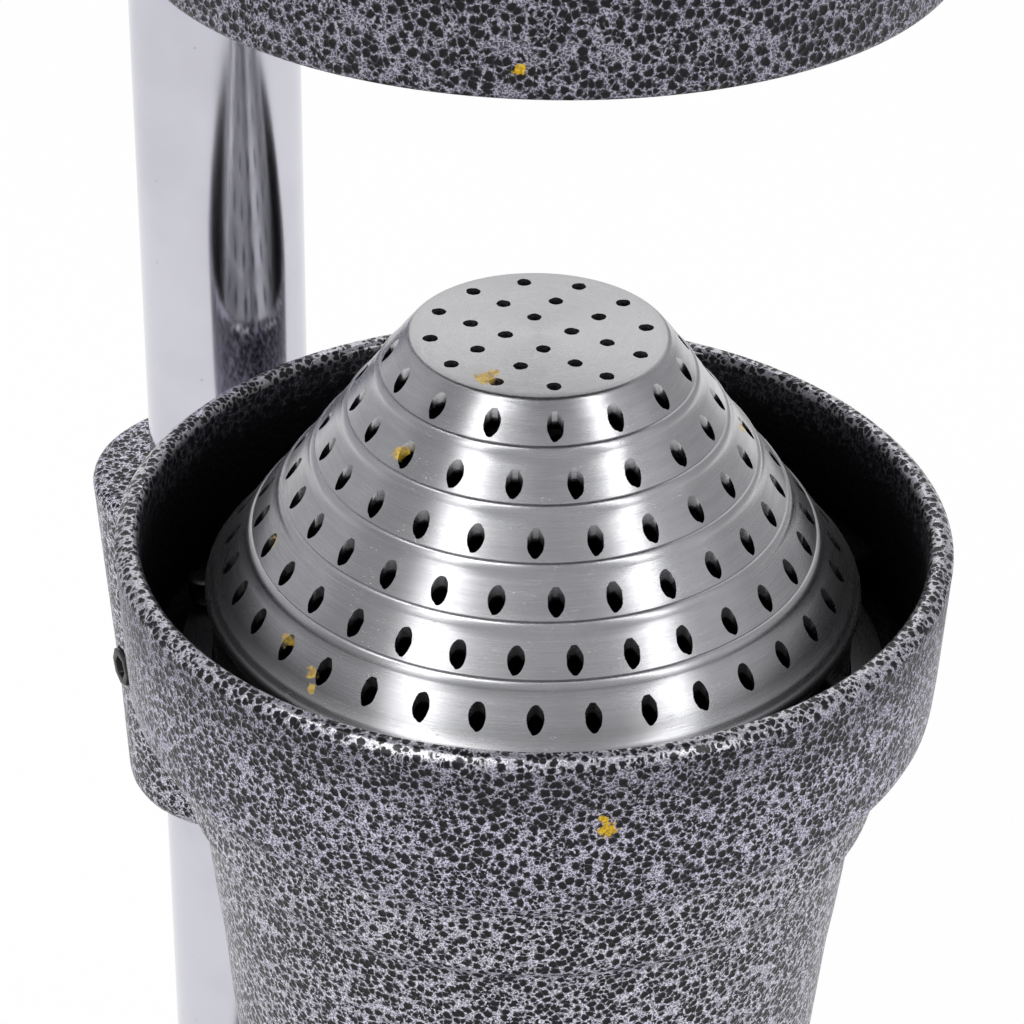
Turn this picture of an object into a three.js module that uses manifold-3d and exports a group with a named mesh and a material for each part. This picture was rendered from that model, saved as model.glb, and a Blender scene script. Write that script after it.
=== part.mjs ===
// Lever citrus juice press: a cup with a perforated strainer on a round column, and above it a
// press bell on a rack ram that a long lever drives through a toothed sector.
// Millimetres, +Z up. The origin is the middle of the footprint on the table, and +Y is the rear,
// where the column stands. Heights called depth are measured down from the cup's rim, and heights
// called rise are measured up from the bell's lower edge.

import * as THREE from 'three';
import { mergeVertices, mergeGeometries } from 'three/addons/utils/BufferGeometryUtils.js';
import Module from 'manifold-3d';

// Clearances shared by all pieces
const seatGap = 0.3;
const cutOverrun = 1;

// Where the press stands
const cupAxisSetback = 15;
const columnOffset = 91;
const cupRimHeight = 270;

// Feet and their screws
const footHeight = 8;
const footTopRadius = 14;
const footBottomRadius = 12;
const footRecessRadius = 7;
const footRecessDepth = 4.2;
const footInset = 30;
const footScrewRadius = 2.5;
const footScrewHeadRadius = 5.5;
const footScrewHeadHeight = 3;
const footScrewReach = 8;

// Base casting
const baseWidth = 190;
const baseDepth = 240;
const baseThickness = 20;
const baseCornerRadius = 50;
const baseEdgeRound = 5;
const baseSideWall = 10;
const baseTopWall = 9;
const baseRibThickness = 7;
const baseBossRadius = 12;
const glassRingRadius = 44;
const glassRingDepth = 1.5;

// Socket that holds the column
const socketBottomRadius = 32;
const socketTopRadius = 25.5;
const socketHeight = 48;
const socketFloorHeight = 24;
const socketFloorThickness = 7;
const socketEdgeRound = 3;
const socketScrewHeight = 60;

// Column, its threaded plug and the bolt from below
const columnRadius = 15;
const columnWall = 2.5;
const columnFitGap = 0.35;
const plugLength = 26;
const plugFitGap = 0.3;
const columnBoltRadius = 5;
const columnBoltHeadRadius = 9.2;
const columnBoltHeadHeight = 6;
const columnBoltReach = 20;
const columnWasherRadius = 12;
const columnWasherThickness = 2;

// Set screws with a hexagon socket
const setScrewRadius = 3.9;
const setScrewLength = 9;
const setScrewSocketRadius = 2.3;
const setScrewSocketDepth = 4;

// Cup: outside, from the rim down to the spout
const cupRimRadius = 69.7;
const cupLipRound = 1.6;
const bandBottomRadius = 68.3;
const bandDepth = 28;
const neckTopRadius = 61.4;
const neckTopDepth = 33;
const neckBottomRadius = 60.3;
const neckBottomDepth = 46.5;
const bodyTopRadius = 57.2;
const bodyTopDepth = 50;
const bodyBottomRadius = 52.2;
const bodyBottomDepth = 96;
const bodyRound = 17;
const spoutRadius = 14;
const spoutLength = 15;

// Cup: inside
const mouthRadius = 65.9;
const ledgeOuterRadius = 65.2;
const ledgeInnerRadius = 56.8;
const ledgeDepth = 27.8;
const throatBottomRadius = 56;
const throatBottomDepth = 44;
const bowlTopRadius = 53.4;
const bowlTopDepth = 48;
const bowlBottomRadius = 48.4;
const bowlBottomLift = 3;
const bowlRound = 15.5;
const bowlRoundAngle = 70;
const spoutBore = 10.5;

// Lugs on the cup's wall that hold the strainer down
const lugTopDepth = 20;
const lugThickness = 5;
const lugInnerRadius = 56.4;
const lugHalfAngle = 17;

// Collar that carries the cup on the column
const collarTopRadius = 26;
const collarBottomRadius = 21.9;
const collarTopDepth = 31.5;
const collarBottomDepth = 104;
const collarTopRound = 2;
const collarBottomRound = 5;
const collarWebWidth = 26;
const collarWebTopDepth = 36;
const collarWebBottomDepth = 92;
const collarScrewDepth = 71;
const collarScrewAngle = 168;

// Strainer: stepped cone, skirt and flange
const strainerTopRise = 36.75;
const strainerTopRadius = 21.4;
const strainerTopRound = 0.7;
const strainerBaseRadius = 54.2;
const strainerBaseDepth = 8.6;
const strainerWall = 2.4;
const bandCount = 6;
const bandRise = 7.4;
const lastBandRise = 9.6;
const bandNose = 0.55;
const bandNoseHeight = 0.6;
const beadRadius = 55;
const beadDepth = 10;
const skirtTopDepth = 12;
const skirtRadius = 54.2;
const flangeRadius = 60.5;
const flangeThickness = 2.2;
const flangeNotchHalfAngle = 21;
const grabNubRadius = 62;
const grabNubWidth = 5.5;
const grabNubHeight = 4.6;
const grabNubAngle = 126;

// Strainer: holes drilled straight down
const drillRadius = 1.2;
const topDrillRadius = 1.1;
const firstRowCount = 15;
const rowCountStep = 4;
const drillAboveStep = 2.45;
const rowPhaseShares = [0.89, 0.81, 0.74, 0.665, 0.57, 0.48];
const topRingCounts = [4, 8, 12];
const topRingRadiusShares = [0.25, 0.53, 0.82];
const topRingAngles = [-31.3, -53.6, -31.3];

// Bell: a domed press head
const bellRestRise = 105.8;
const bellLowestDepth = 12;
const bellRadius = 62.9;
const bellWall = 4;
const bellEdgeRound = 1.2;
const bellShoulderRise = 22;
const bellDomeHeight = 50;
const bellInnerShoulderRise = 19;
const bellInnerDomeHeight = 47.5;
const bellCrownRise = 65;
const bellBossRadius = 18;
const bellBossRise = 84;
const bellBoltFitGap = 0.4;
const bellWasherRadius = 13;
const bellWasherThickness = 1.8;
const bellNutRadius = 10.5;
const bellNutHeight = 7;

// Ram with its rack
const ramRadius = 12;
const ramStudRadius = 6;
const ramStudSpare = 2;
const rackPitchOffset = 5.5;
const ramTopSpare = 4;
const ramCapRadius = 16;
const ramCapThickness = 3;
const ramCapScrewRadius = 4;
const ramCapScrewHeadRadius = 7;
const ramCapScrewHeadHeight = 5;
const ramCapScrewReach = 14;

// Teeth of the rack and of the sector
const toothModule = 3;
const pressureAngle = 20;
const fullCircleTeeth = 38;
const toothBacklash = 0.3;
const addendumShare = 1;
const dedendumShare = 1.25;
const spareTeeth = 1;
const flankSteps = 2;

// Sector
const sectorThickness = 14;
const sectorHubRadius = 15;
const sectorHubGap = 0.5;
const sectorWindowRadius = 8;
const sectorWindowOffset = 36;
const sectorWindowCount = 3;
const crossPinRadius = 2.5;

// Head casting
const headSlotWidth = 20;
const headCheek = 8;
const sectorSweepGap = 2;
const barrelRadius = 21;
const bellToGuideGap = 3;
const headEyeRadius = 19;
const headEyeStartAngle = -20;
const headEyeEndAngle = 70;
const headPlateSpanShare = 0.75;
const headBossRadius = 25;
const headBossRise = 112;
const headBossRoof = 8;
const headArmRise = 155;
const headBossEdgeRound = 3;
const headScrewSpacing = 34;

// Bronze bushes of the ram
const guideBushWall = 3;
const guideBushLength = 16;
const guideBushFlange = 3;
const guideBushFlangeRadius = 18.5;
const guideBushSweepGap = 1.5;

// Pivot shaft and its bushes
const shaftRadius = 8;
const shaftBushWall = 3;
const shaftBushFlangeRadius = 14;
const shaftBushFlange = 2;
const shaftCollarRadius = 14;
const shaftCollarWidth = 10;
const shaftEndSpare = 2;
const shaftThreadRadius = 6;

// Lever hub, its washer, nut and stops
const hubRadius = 18;
const hubWidth = 26;
const hubArmRadius = 13;
const hubArmTipRadius = 11.8;
const hubArmReach = 46;
const hubSocketStart = 21;
const hubWasherRadius = 13;
const hubWasherThickness = 2;
const hubNutRadius = 11;
const hubNutHeight = 9;
const hubNutDome = 4;
const hubNutFaceShare = 5 / 6;
const leverRestTilt = 10;
const stopEarLead = 208;
const stopEarReach = 27;
const stopEarWidth = 8;
const stopEarThickness = 8;
const stopPinRadius = 3;
const stopPinOffset = 23;
const stopPinSink = 6;

// Lever bar and grip
const leverRadius = 8;
const leverReach = 255;
const gripLength = 108;
const gripRadius = 15.5;
const gripWaistRadius = 12.5;
const gripEndRadius = 14;
const gripCapHeight = 6;
const gripCapRimHeight = 2;
const gripCapStudRadius = 3;
const gripCapStudLength = 12;

// How finely round surfaces are divided
const largeSegments = 32;
const mediumSegments = 20;
const smallSegments = 14;
const tinySegments = 8;
const drillSegments = 5;
const windowSegments = 10;
const footSegments = 12;
const strainerSegments = 30;
const columnSegments = 28;
const hexagonSides = 6;
const cornerSteps = 3;
const edgeSteps = 2;
const domeSteps = 5;
const innerDomeSteps = 4;
const capSteps = 3;
const eyeSteps = 4;
const lugSteps = 2;

// Values worked out from the sizes above
const radians = Math.PI / 180;
const cupAxisY = -cupAxisSetback;
const columnY = cupAxisY + columnOffset;
const baseTop = footHeight + baseThickness;
const pitchRadius = toothModule * fullCircleTeeth / 2;
const toothPitch = Math.PI * toothModule;
const addendum = addendumShare * toothModule;
const dedendum = dedendumShare * toothModule;
const stroke = bellRestRise + bellLowestDepth;
const leverSwing = stroke / pitchRadius;
const bellEdgeHeight = cupRimHeight + bellRestRise;
const bellTop = bellEdgeHeight + bellBossRise;
const guideBushRadius = ramRadius + seatGap + guideBushWall;
const sectorSweepRadius = pitchRadius + addendum + sectorSweepGap;
const pivotOffset = rackPitchOffset + pitchRadius;
const bushReach = pivotOffset - guideBushRadius;
const bushSweepHeight = Math.sqrt((pitchRadius + addendum) ** 2 - bushReach ** 2) + guideBushSweepGap;
const barrelBottom = bellTop + bellToGuideGap + guideBushFlange;
const pivotHeight = barrelBottom + guideBushLength + bushSweepHeight;
const barrelTop = pivotHeight + bushSweepHeight + guideBushLength;
const ramTop = barrelTop + guideBushFlange + stroke + ramTopSpare;
const headHalfWidth = headSlotWidth / 2 + headCheek;
const shaftBushRadius = shaftRadius + seatGap + shaftBushWall;
const headBossBottom = cupRimHeight + headBossRise;
const headArmHeight = cupRimHeight + headArmRise;
const headBossTop = pivotHeight - sectorSweepRadius - seatGap;
const columnTop = headBossTop - headBossRoof;
const hubInnerFace = headHalfWidth + shaftBushFlange + seatGap;
const hubOuterFace = hubInnerFace + hubWidth;
const hubMiddle = hubInnerFace + hubWidth / 2;

const wasm = await Module();
wasm.setup();

// A closed geometry as a solid that can be joined and cut
function solidOf(geometry) {
  const bare = geometry.clone();
  bare.deleteAttribute('normal');
  bare.deleteAttribute('uv');
  const merged = mergeVertices(bare);
  const index = merged.index.array;
  const corners = [];
  for (let i = 0; i < index.length; i += 3) {
    const [a, b, c] = [index[i], index[i + 1], index[i + 2]];
    if (a !== b && b !== c && c !== a) {
      corners.push(a, b, c);
    }
  }
  return new wasm.Manifold(new wasm.Mesh({
    numProp: 3,
    vertProperties: Float32Array.from(merged.attributes.position.array),
    triVerts: Uint32Array.from(corners),
  }));
}

// A solid as a geometry
function geometryOf(solid) {
  const mesh = solid.getMesh();
  const geometry = new THREE.BufferGeometry();
  geometry.setAttribute('position', new THREE.BufferAttribute(Float32Array.from(mesh.vertProperties), 3));
  geometry.setIndex(new THREE.BufferAttribute(Uint32Array.from(mesh.triVerts), 1));
  geometry.computeVertexNormals();
  return geometry;
}

function join(first, ...others) {
  return geometryOf(others.reduce((body, other) => body.add(solidOf(other)), solidOf(first)));
}

function cut(first, ...tools) {
  return geometryOf(tools.reduce((body, tool) => body.subtract(solidOf(tool)), solidOf(first)));
}

// A body turned about Z from a closed profile of [radius, height] points, anticlockwise
function revolve(profile, segments = largeSegments) {
  const points = profile.map(([radius, height]) => new THREE.Vector2(radius, height));
  points.push(points[0].clone());
  return new THREE.LatheGeometry(points, segments).rotateX(Math.PI / 2);
}

// A round bar or taper standing on the origin along +Z
function rod(radius, length, segments = mediumSegments, topRadius = radius) {
  return new THREE.CylinderGeometry(topRadius, radius, length, segments)
    .rotateX(Math.PI / 2)
    .translate(0, 0, length / 2);
}

// A round bar lying along X, centred on the origin
function crossRod(radius, length, segments = mediumSegments) {
  return rod(radius, length, segments).translate(0, 0, -length / 2).rotateY(Math.PI / 2);
}

// A tube standing on the origin
function tube(outerRadius, innerRadius, length, segments = mediumSegments) {
  return revolve(
    [[innerRadius, 0], [outerRadius, 0], [outerRadius, length], [innerRadius, length]], segments);
}

// A box centred on the origin
function block(width, depth, height) {
  return new THREE.BoxGeometry(width, depth, height);
}

// A flat plate of an outline in the upright Y-Z plane, centred on X
function sidePlate(outline, width) {
  const toSide = new THREE.Matrix4().makeBasis(
    new THREE.Vector3(0, 1, 0), new THREE.Vector3(0, 0, 1), new THREE.Vector3(1, 0, 0));
  return new THREE.ExtrudeGeometry(outline, { depth: width, bevelEnabled: false, curveSegments: eyeSteps })
    .translate(0, 0, -width / 2)
    .applyMatrix4(toSide);
}

// A wedge of a ring about Z, from inner to outer radius, centred on an angle
function ringWedge(innerRadius, outerRadius, height, middleAngle, halfAngle) {
  const outline = new THREE.Shape();
  outline.absarc(0, 0, outerRadius, middleAngle - halfAngle, middleAngle + halfAngle, false);
  outline.absarc(0, 0, innerRadius, middleAngle + halfAngle, middleAngle - halfAngle, true);
  return new THREE.ExtrudeGeometry(
    outline, { depth: height, bevelEnabled: false, curveSegments: lugSteps });
}

// Points of a quarter round between two corners of a profile
function roundPoints(centre, radius, startAngle, endAngle, steps) {
  return Array.from({ length: steps + 1 }, (_, i) => {
    const angle = startAngle + (endAngle - startAngle) * i / steps;
    return [centre[0] + radius * Math.cos(angle), centre[1] + radius * Math.sin(angle)];
  });
}

// A hexagon-socket set screw standing on its point
function setScrew() {
  const socket = rod(setScrewSocketRadius, setScrewSocketDepth + cutOverrun, hexagonSides)
    .translate(0, 0, setScrewLength - setScrewSocketDepth);
  return cut(rod(setScrewRadius, setScrewLength, tinySegments), socket);
}

// The hole of a set screw, from inside the bore out past the surface
function setScrewHole(length) {
  return rod(setScrewRadius + seatGap, length, tinySegments);
}

const materials = {
  hammertone: new THREE.MeshStandardMaterial({ color: 0x77777d, roughness: 0.45, metalness: 0.4 }),
  chrome: new THREE.MeshStandardMaterial({ color: 0xc9cad0, roughness: 0.12, metalness: 1 }),
  castAluminium: new THREE.MeshStandardMaterial({ color: 0xb4b4b8, roughness: 0.34, metalness: 1 }),
  steel: new THREE.MeshStandardMaterial({ color: 0x9a9ca0, roughness: 0.32, metalness: 1 }),
  blackSteel: new THREE.MeshStandardMaterial({ color: 0x2a2a2c, roughness: 0.5, metalness: 0.8 }),
  bronze: new THREE.MeshStandardMaterial({ color: 0xb08a4a, roughness: 0.4, metalness: 1 }),
  rubber: new THREE.MeshStandardMaterial({ color: 0x1b1b1c, roughness: 0.85, metalness: 0 }),
  gripPlastic: new THREE.MeshStandardMaterial({ color: 0x18181a, roughness: 0.6, metalness: 0 }),
};

const press = new THREE.Group();

function piece(name, geometry, material, parent, x = 0, y = 0, z = 0) {
  const mesh = new THREE.Mesh(geometry, material);
  mesh.name = name;
  mesh.position.set(x, y, z);
  parent.add(mesh);
  return mesh;
}

// A set screw seated against a round part: its point faces the axis it is turned about
function seatedSetScrew(name, parent, height, angle, pointRadius) {
  const mesh = piece(name, setScrew(), materials.blackSteel, parent,
    pointRadius * Math.cos(angle), pointRadius * Math.sin(angle), height);
  mesh.rotation.set(0, Math.PI / 2, angle, 'ZYX');
  return mesh;
}

// The same screw's hole, as a cutting tool in the frame of the round part's axis
function seatedScrewTool(height, angle, startRadius, length) {
  return setScrewHole(length).rotateY(Math.PI / 2).translate(startRadius, 0, 0).rotateZ(angle)
    .translate(0, 0, height);
}

// Base: a rounded plate, hollow beneath, with ribs, foot bosses and the column's socket
function roundedRectangle(width, depth, radius) {
  const outline = new THREE.Shape();
  const right = width / 2 - radius;
  const back = depth / 2 - radius;
  outline.absarc(right, -back, radius, -Math.PI / 2, 0, false);
  outline.absarc(right, back, radius, 0, Math.PI / 2, false);
  outline.absarc(-right, back, radius, Math.PI / 2, Math.PI, false);
  outline.absarc(-right, -back, radius, Math.PI, 3 * Math.PI / 2, false);
  return outline;
}

const footX = baseWidth / 2 - footInset;
const footY = baseDepth / 2 - footInset;
const footPlaces = [
  ['front_left', -footX, -footY], ['front_right', footX, -footY],
  ['rear_left', -footX, footY], ['rear_right', footX, footY],
];

function baseGeometry() {
  const slabOutline = roundedRectangle(
    baseWidth - 2 * baseEdgeRound, baseDepth - 2 * baseEdgeRound, baseCornerRadius - baseEdgeRound);
  const slab = new THREE.ExtrudeGeometry(slabOutline, {
    depth: baseThickness - 2 * baseEdgeRound,
    bevelThickness: baseEdgeRound,
    bevelSize: baseEdgeRound,
    bevelSegments: 2,
    curveSegments: cornerSteps,
  }).translate(0, 0, footHeight + baseEdgeRound);
  const hollowOutline = roundedRectangle(
    baseWidth - 2 * baseSideWall, baseDepth - 2 * baseSideWall, baseCornerRadius - baseSideWall);
  const hollowHeight = baseThickness - baseTopWall;
  const hollow = new THREE.ExtrudeGeometry(
    hollowOutline, { depth: hollowHeight + cutOverrun, bevelEnabled: false, curveSegments: cornerSteps })
    .translate(0, 0, footHeight - cutOverrun);
  const boltRecessRadius = columnWasherRadius + cutOverrun;
  const coreHeight = socketFloorHeight - footHeight;
  const fill = [
    rod(socketTopRadius, coreHeight).translate(0, columnY, footHeight),
    block(baseRibThickness, baseDepth - 2 * baseEdgeRound, hollowHeight)
      .translate(0, 0, footHeight + hollowHeight / 2 + cutOverrun),
    block(baseWidth - 2 * baseEdgeRound, baseRibThickness, hollowHeight)
      .translate(0, 0, footHeight + hollowHeight / 2 + cutOverrun),
    ...footPlaces.map(([, x, y]) => rod(baseBossRadius, hollowHeight + cutOverrun, smallSegments)
      .translate(x, y, footHeight)),
  ];
  const socketTop = baseTop + socketHeight;
  const socket = revolve([
    [0, footHeight + baseEdgeRound],
    [socketBottomRadius, footHeight + baseEdgeRound],
    [socketBottomRadius, baseTop],
    [socketTopRadius + socketEdgeRound, baseTop + socketEdgeRound],
    ...roundPoints([socketTopRadius - socketEdgeRound, socketTop - socketEdgeRound],
      socketEdgeRound, 0, Math.PI / 2, cornerSteps),
    [0, socketTop],
  ], mediumSegments).translate(0, columnY, 0);
  const holes = [
    rod(glassRingRadius, glassRingDepth + cutOverrun, largeSegments)
      .translate(0, cupAxisY, baseTop - glassRingDepth),
    rod(columnRadius + columnFitGap, socketTop - socketFloorHeight + cutOverrun)
      .translate(0, columnY, socketFloorHeight),
    rod(columnBoltRadius + seatGap, socketFloorHeight, tinySegments).translate(0, columnY, footHeight),
    rod(boltRecessRadius, socketFloorHeight - socketFloorThickness - footHeight + cutOverrun, smallSegments)
      .translate(0, columnY, footHeight - cutOverrun),
    seatedScrewTool(socketScrewHeight, Math.PI / 2, columnRadius, socketBottomRadius)
      .translate(0, columnY, 0),
    ...footPlaces.map(([, x, y]) => rod(
      footScrewRadius + seatGap, footScrewReach + 2 * cutOverrun, tinySegments)
      .translate(x, y, footHeight - cutOverrun)),
  ];
  return cut(join(cut(join(slab, socket), hollow), ...fill), ...holes);
}

piece('base', baseGeometry(), materials.hammertone, press);

// Feet: tapered rubber pads held by a pan-head screw in a recess
function footGeometry() {
  const top = footHeight - seatGap;
  return revolve([
    [footScrewRadius + seatGap, footRecessDepth],
    [footRecessRadius, footRecessDepth],
    [footRecessRadius, 0],
    [footBottomRadius, 0],
    [footTopRadius, top],
    [footScrewRadius + seatGap, top],
  ], footSegments);
}

function footScrewGeometry() {
  const shankLength = footHeight - footRecessDepth + footScrewHeadHeight + footScrewReach;
  return join(rod(footScrewHeadRadius, footScrewHeadHeight, tinySegments),
    rod(footScrewRadius, shankLength, tinySegments));
}

for (const [place, x, y] of footPlaces) {
  piece(`foot_${place}`, footGeometry(), materials.rubber, press, x, y, 0);
  piece(`foot_screw_${place}`, footScrewGeometry(), materials.steel, press,
    x, y, footRecessDepth - seatGap - footScrewHeadHeight);
}

// Column: a plated tube with a threaded plug pulled down by a bolt from under the base
const columnBottom = socketFloorHeight + seatGap;
const columnGroup = new THREE.Group();
columnGroup.position.set(0, columnY, 0);
press.add(columnGroup);

piece('column', tube(columnRadius, columnRadius - columnWall, columnTop - columnBottom, columnSegments),
  materials.chrome, columnGroup, 0, 0, columnBottom);

const plugBottom = columnBottom + seatGap;
piece('column_plug',
  tube(columnRadius - columnWall - plugFitGap, columnBoltRadius + seatGap, plugLength, smallSegments),
  materials.steel, columnGroup, 0, 0, plugBottom);

const washerTop = socketFloorHeight - socketFloorThickness - seatGap;
const washerBottom = washerTop - columnWasherThickness;
piece('column_washer',
  tube(columnWasherRadius, columnBoltRadius + seatGap, columnWasherThickness, smallSegments),
  materials.steel, columnGroup, 0, 0, washerBottom);

function columnBoltGeometry() {
  const shankLength = columnBoltHeadHeight + seatGap + columnWasherThickness + socketFloorThickness
    + columnBoltReach;
  return join(rod(columnBoltHeadRadius, columnBoltHeadHeight, hexagonSides),
    rod(columnBoltRadius, shankLength, tinySegments));
}

piece('column_bolt', columnBoltGeometry(), materials.steel, columnGroup,
  0, 0, washerBottom - seatGap - columnBoltHeadHeight);
seatedSetScrew('base_set_screw', columnGroup, socketScrewHeight, Math.PI / 2, columnRadius + seatGap);

// Cup: band, neck, tapered bowl and spout in one casting with the collar
const cupGroup = new THREE.Group();
cupGroup.position.set(0, cupAxisY, cupRimHeight);
press.add(cupGroup);

function cupGeometry() {
  const spoutTopDepth = bodyBottomDepth + bodyRound;
  const spoutBottomDepth = spoutTopDepth + spoutLength;
  const bowlBottomDepth = bodyBottomDepth - bowlBottomLift;
  const bowlRoundOut = roundPoints([bodyBottomRadius - bodyRound, -bodyBottomDepth],
    bodyRound, 0, -bowlRoundAngle * radians, cornerSteps).reverse();
  const outside = revolve([
    [0, -spoutBottomDepth],
    [spoutRadius, -spoutBottomDepth],
    [spoutRadius, -spoutTopDepth],
    ...bowlRoundOut,
    [bodyTopRadius, -bodyTopDepth],
    [neckBottomRadius, -neckBottomDepth],
    [neckTopRadius, -neckTopDepth],
    [bandBottomRadius, -bandDepth],
    ...roundPoints([cupRimRadius - cupLipRound, -cupLipRound], cupLipRound, 0, Math.PI / 2, edgeSteps),
    [0, 0],
  ]);
  const bowlRoundIn = roundPoints([bowlBottomRadius - bowlRound, -bowlBottomDepth],
    bowlRound, 0, -bowlRoundAngle * radians, cornerSteps).reverse();
  const inside = revolve([
    [0, -spoutBottomDepth - cutOverrun],
    [spoutBore, -spoutBottomDepth - cutOverrun],
    [spoutBore, -bowlBottomDepth - bowlRound],
    ...bowlRoundIn,
    [bowlTopRadius, -bowlTopDepth],
    [throatBottomRadius, -throatBottomDepth],
    [ledgeInnerRadius, -ledgeDepth],
    [ledgeOuterRadius, -ledgeDepth],
    [mouthRadius, -cupLipRound],
    [mouthRadius + cupLipRound, 0],
    [mouthRadius + cupLipRound, cutOverrun],
    [0, cutOverrun],
  ]);
  const collar = revolve([
    [0, -collarBottomDepth],
    ...roundPoints([collarBottomRadius - collarBottomRound, -collarBottomDepth + collarBottomRound],
      collarBottomRound, -Math.PI / 2, 0, cornerSteps),
    ...roundPoints([collarTopRadius - collarTopRound, -collarTopDepth - collarTopRound],
      collarTopRound, 0, Math.PI / 2, edgeSteps),
    [0, -collarTopDepth],
  ], mediumSegments).translate(0, columnOffset, 0);
  const webHeight = collarWebBottomDepth - collarWebTopDepth;
  const webLength = columnOffset - bowlBottomRadius;
  const web = block(collarWebWidth, webLength, webHeight)
    .translate(0, columnOffset - webLength / 2, -collarWebTopDepth - webHeight / 2);
  const lugs = [0, Math.PI].map((angle) => ringWedge(
    lugInnerRadius, mouthRadius + cupLipRound, lugThickness, angle, lugHalfAngle * radians)
    .translate(0, 0, -lugTopDepth - lugThickness));
  const collarBore = rod(columnRadius + columnFitGap, collarBottomDepth + cutOverrun)
    .translate(0, columnOffset, -collarBottomDepth - cutOverrun);
  const screwHole = seatedScrewTool(
    -collarScrewDepth, collarScrewAngle * radians, columnRadius, collarTopRadius)
    .translate(0, columnOffset, 0);
  return cut(join(cut(join(outside, collar, web), inside), ...lugs), collarBore, screwHole);
}

piece('cup', cupGeometry(), materials.hammertone, cupGroup);

const collarScrewGroup = new THREE.Group();
collarScrewGroup.position.set(0, columnOffset, 0);
cupGroup.add(collarScrewGroup);
seatedSetScrew('cup_set_screw', collarScrewGroup, -collarScrewDepth, collarScrewAngle * radians,
  columnRadius + seatGap);

// Strainer: six stepped bands with drilled rows, a beaded base, a skirt and a notched flange
const coneSlopeShare = (strainerBaseRadius - strainerTopRadius) / (strainerTopRise + strainerBaseDepth);

function coneRadius(rise) {
  return strainerTopRadius + (strainerTopRise - rise) * coneSlopeShare;
}

const flangeTopDepth = lugTopDepth + lugThickness + seatGap;
const lowestStepRise = lastBandRise - strainerBaseDepth;

// The steps of the cone, from the lowest band up: each band leans out to a rounded nose at its foot
function bandPoints() {
  const points = [];
  for (let step = 0; step < bandCount - 1; step += 1) {
    const foot = lowestStepRise + step * bandRise;
    points.push([coneRadius(foot) - bandNose / 2, foot]);
    points.push([coneRadius(foot) + bandNose / 2, foot + bandNoseHeight]);
  }
  return points;
}

function strainerGeometry() {
  const flangeBottomDepth = flangeTopDepth + flangeThickness;
  const innerTopRise = strainerTopRise - strainerWall;
  const innerBaseRadius = skirtRadius - strainerWall;
  const innerTopRadius = strainerTopRadius - strainerWall * (1 - coneSlopeShare / 2);
  const shell = revolve([
    [innerBaseRadius, -flangeBottomDepth],
    [flangeRadius, -flangeBottomDepth],
    [flangeRadius, -flangeTopDepth],
    [skirtRadius, -flangeTopDepth],
    [skirtRadius, -skirtTopDepth],
    [beadRadius, -beadDepth],
    [strainerBaseRadius, -strainerBaseDepth],
    ...bandPoints(),
    [strainerTopRadius, strainerTopRise - strainerTopRound],
    [strainerTopRadius - strainerTopRound, strainerTopRise],
    [0, strainerTopRise],
    [0, innerTopRise],
    [innerTopRadius, innerTopRise],
    [innerBaseRadius, -beadDepth],
  ], strainerSegments);
  const notches = [Math.PI / 2, -Math.PI / 2].map((angle) => ringWedge(
    skirtRadius + seatGap, flangeRadius + cutOverrun, flangeThickness + 2 * cutOverrun,
    angle, flangeNotchHalfAngle * radians).translate(0, 0, -flangeBottomDepth - cutOverrun));
  const nubLength = grabNubRadius - skirtRadius + strainerWall / 2;
  const nubRound = grabNubWidth / 2;
  const nubs = [grabNubAngle * radians, grabNubAngle * radians + Math.PI].map((angle) => join(
    block(nubLength - nubRound, grabNubWidth, grabNubHeight)
      .translate(grabNubRadius - nubRound - (nubLength - nubRound) / 2, 0, grabNubHeight / 2),
    rod(nubRound, grabNubHeight, tinySegments).translate(grabNubRadius - nubRound, 0, 0))
    .rotateZ(angle)
    .translate(0, 0, -flangeTopDepth - seatGap));
  return join(cut(shell, ...notches, drillTool()), ...nubs);
}

// All holes of the strainer as one cutting tool
function drillTool() {
  const drills = [];
  const drillLength = strainerTopRise + flangeTopDepth;
  const addHole = (holeRadius, ringRadius, angle) => {
    drills.push(rod(holeRadius, drillLength, drillSegments)
      .translate(ringRadius, 0, -beadDepth).rotateZ(angle));
  };
  rowPhaseShares.forEach((phaseShare, row) => {
    const count = firstRowCount + rowCountStep * row;
    const ringRadius = coneRadius(lowestStepRise + (bandCount - 2 - row) * bandRise + drillAboveStep);
    for (let i = 0; i < count; i += 1) {
      addHole(drillRadius, ringRadius, (i + phaseShare) * 2 * Math.PI / count);
    }
  });
  topRingCounts.forEach((count, ring) => {
    const ringRadius = topRingRadiusShares[ring] * strainerTopRadius;
    for (let i = 0; i < count; i += 1) {
      addHole(topDrillRadius, ringRadius, topRingAngles[ring] * radians + i * 2 * Math.PI / count);
    }
  });
  return mergeGeometries(drills);
}

piece('strainer', strainerGeometry(), materials.castAluminium, cupGroup);

// Bell: a thin dome with a boss on top, bolted to the ram by a nut inside
const ramGroup = new THREE.Group();
ramGroup.position.set(0, cupAxisY, bellEdgeHeight);
press.add(ramGroup);

// Points of an elliptical dome from the shoulder up to a height
function domePoints(radius, shoulder, domeHeight, topHeight, steps) {
  const endAngle = Math.asin((topHeight - shoulder) / domeHeight);
  return Array.from({ length: steps + 1 }, (_, i) => {
    const angle = endAngle * i / steps;
    return [radius * Math.cos(angle), shoulder + domeHeight * Math.sin(angle)];
  });
}

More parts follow.
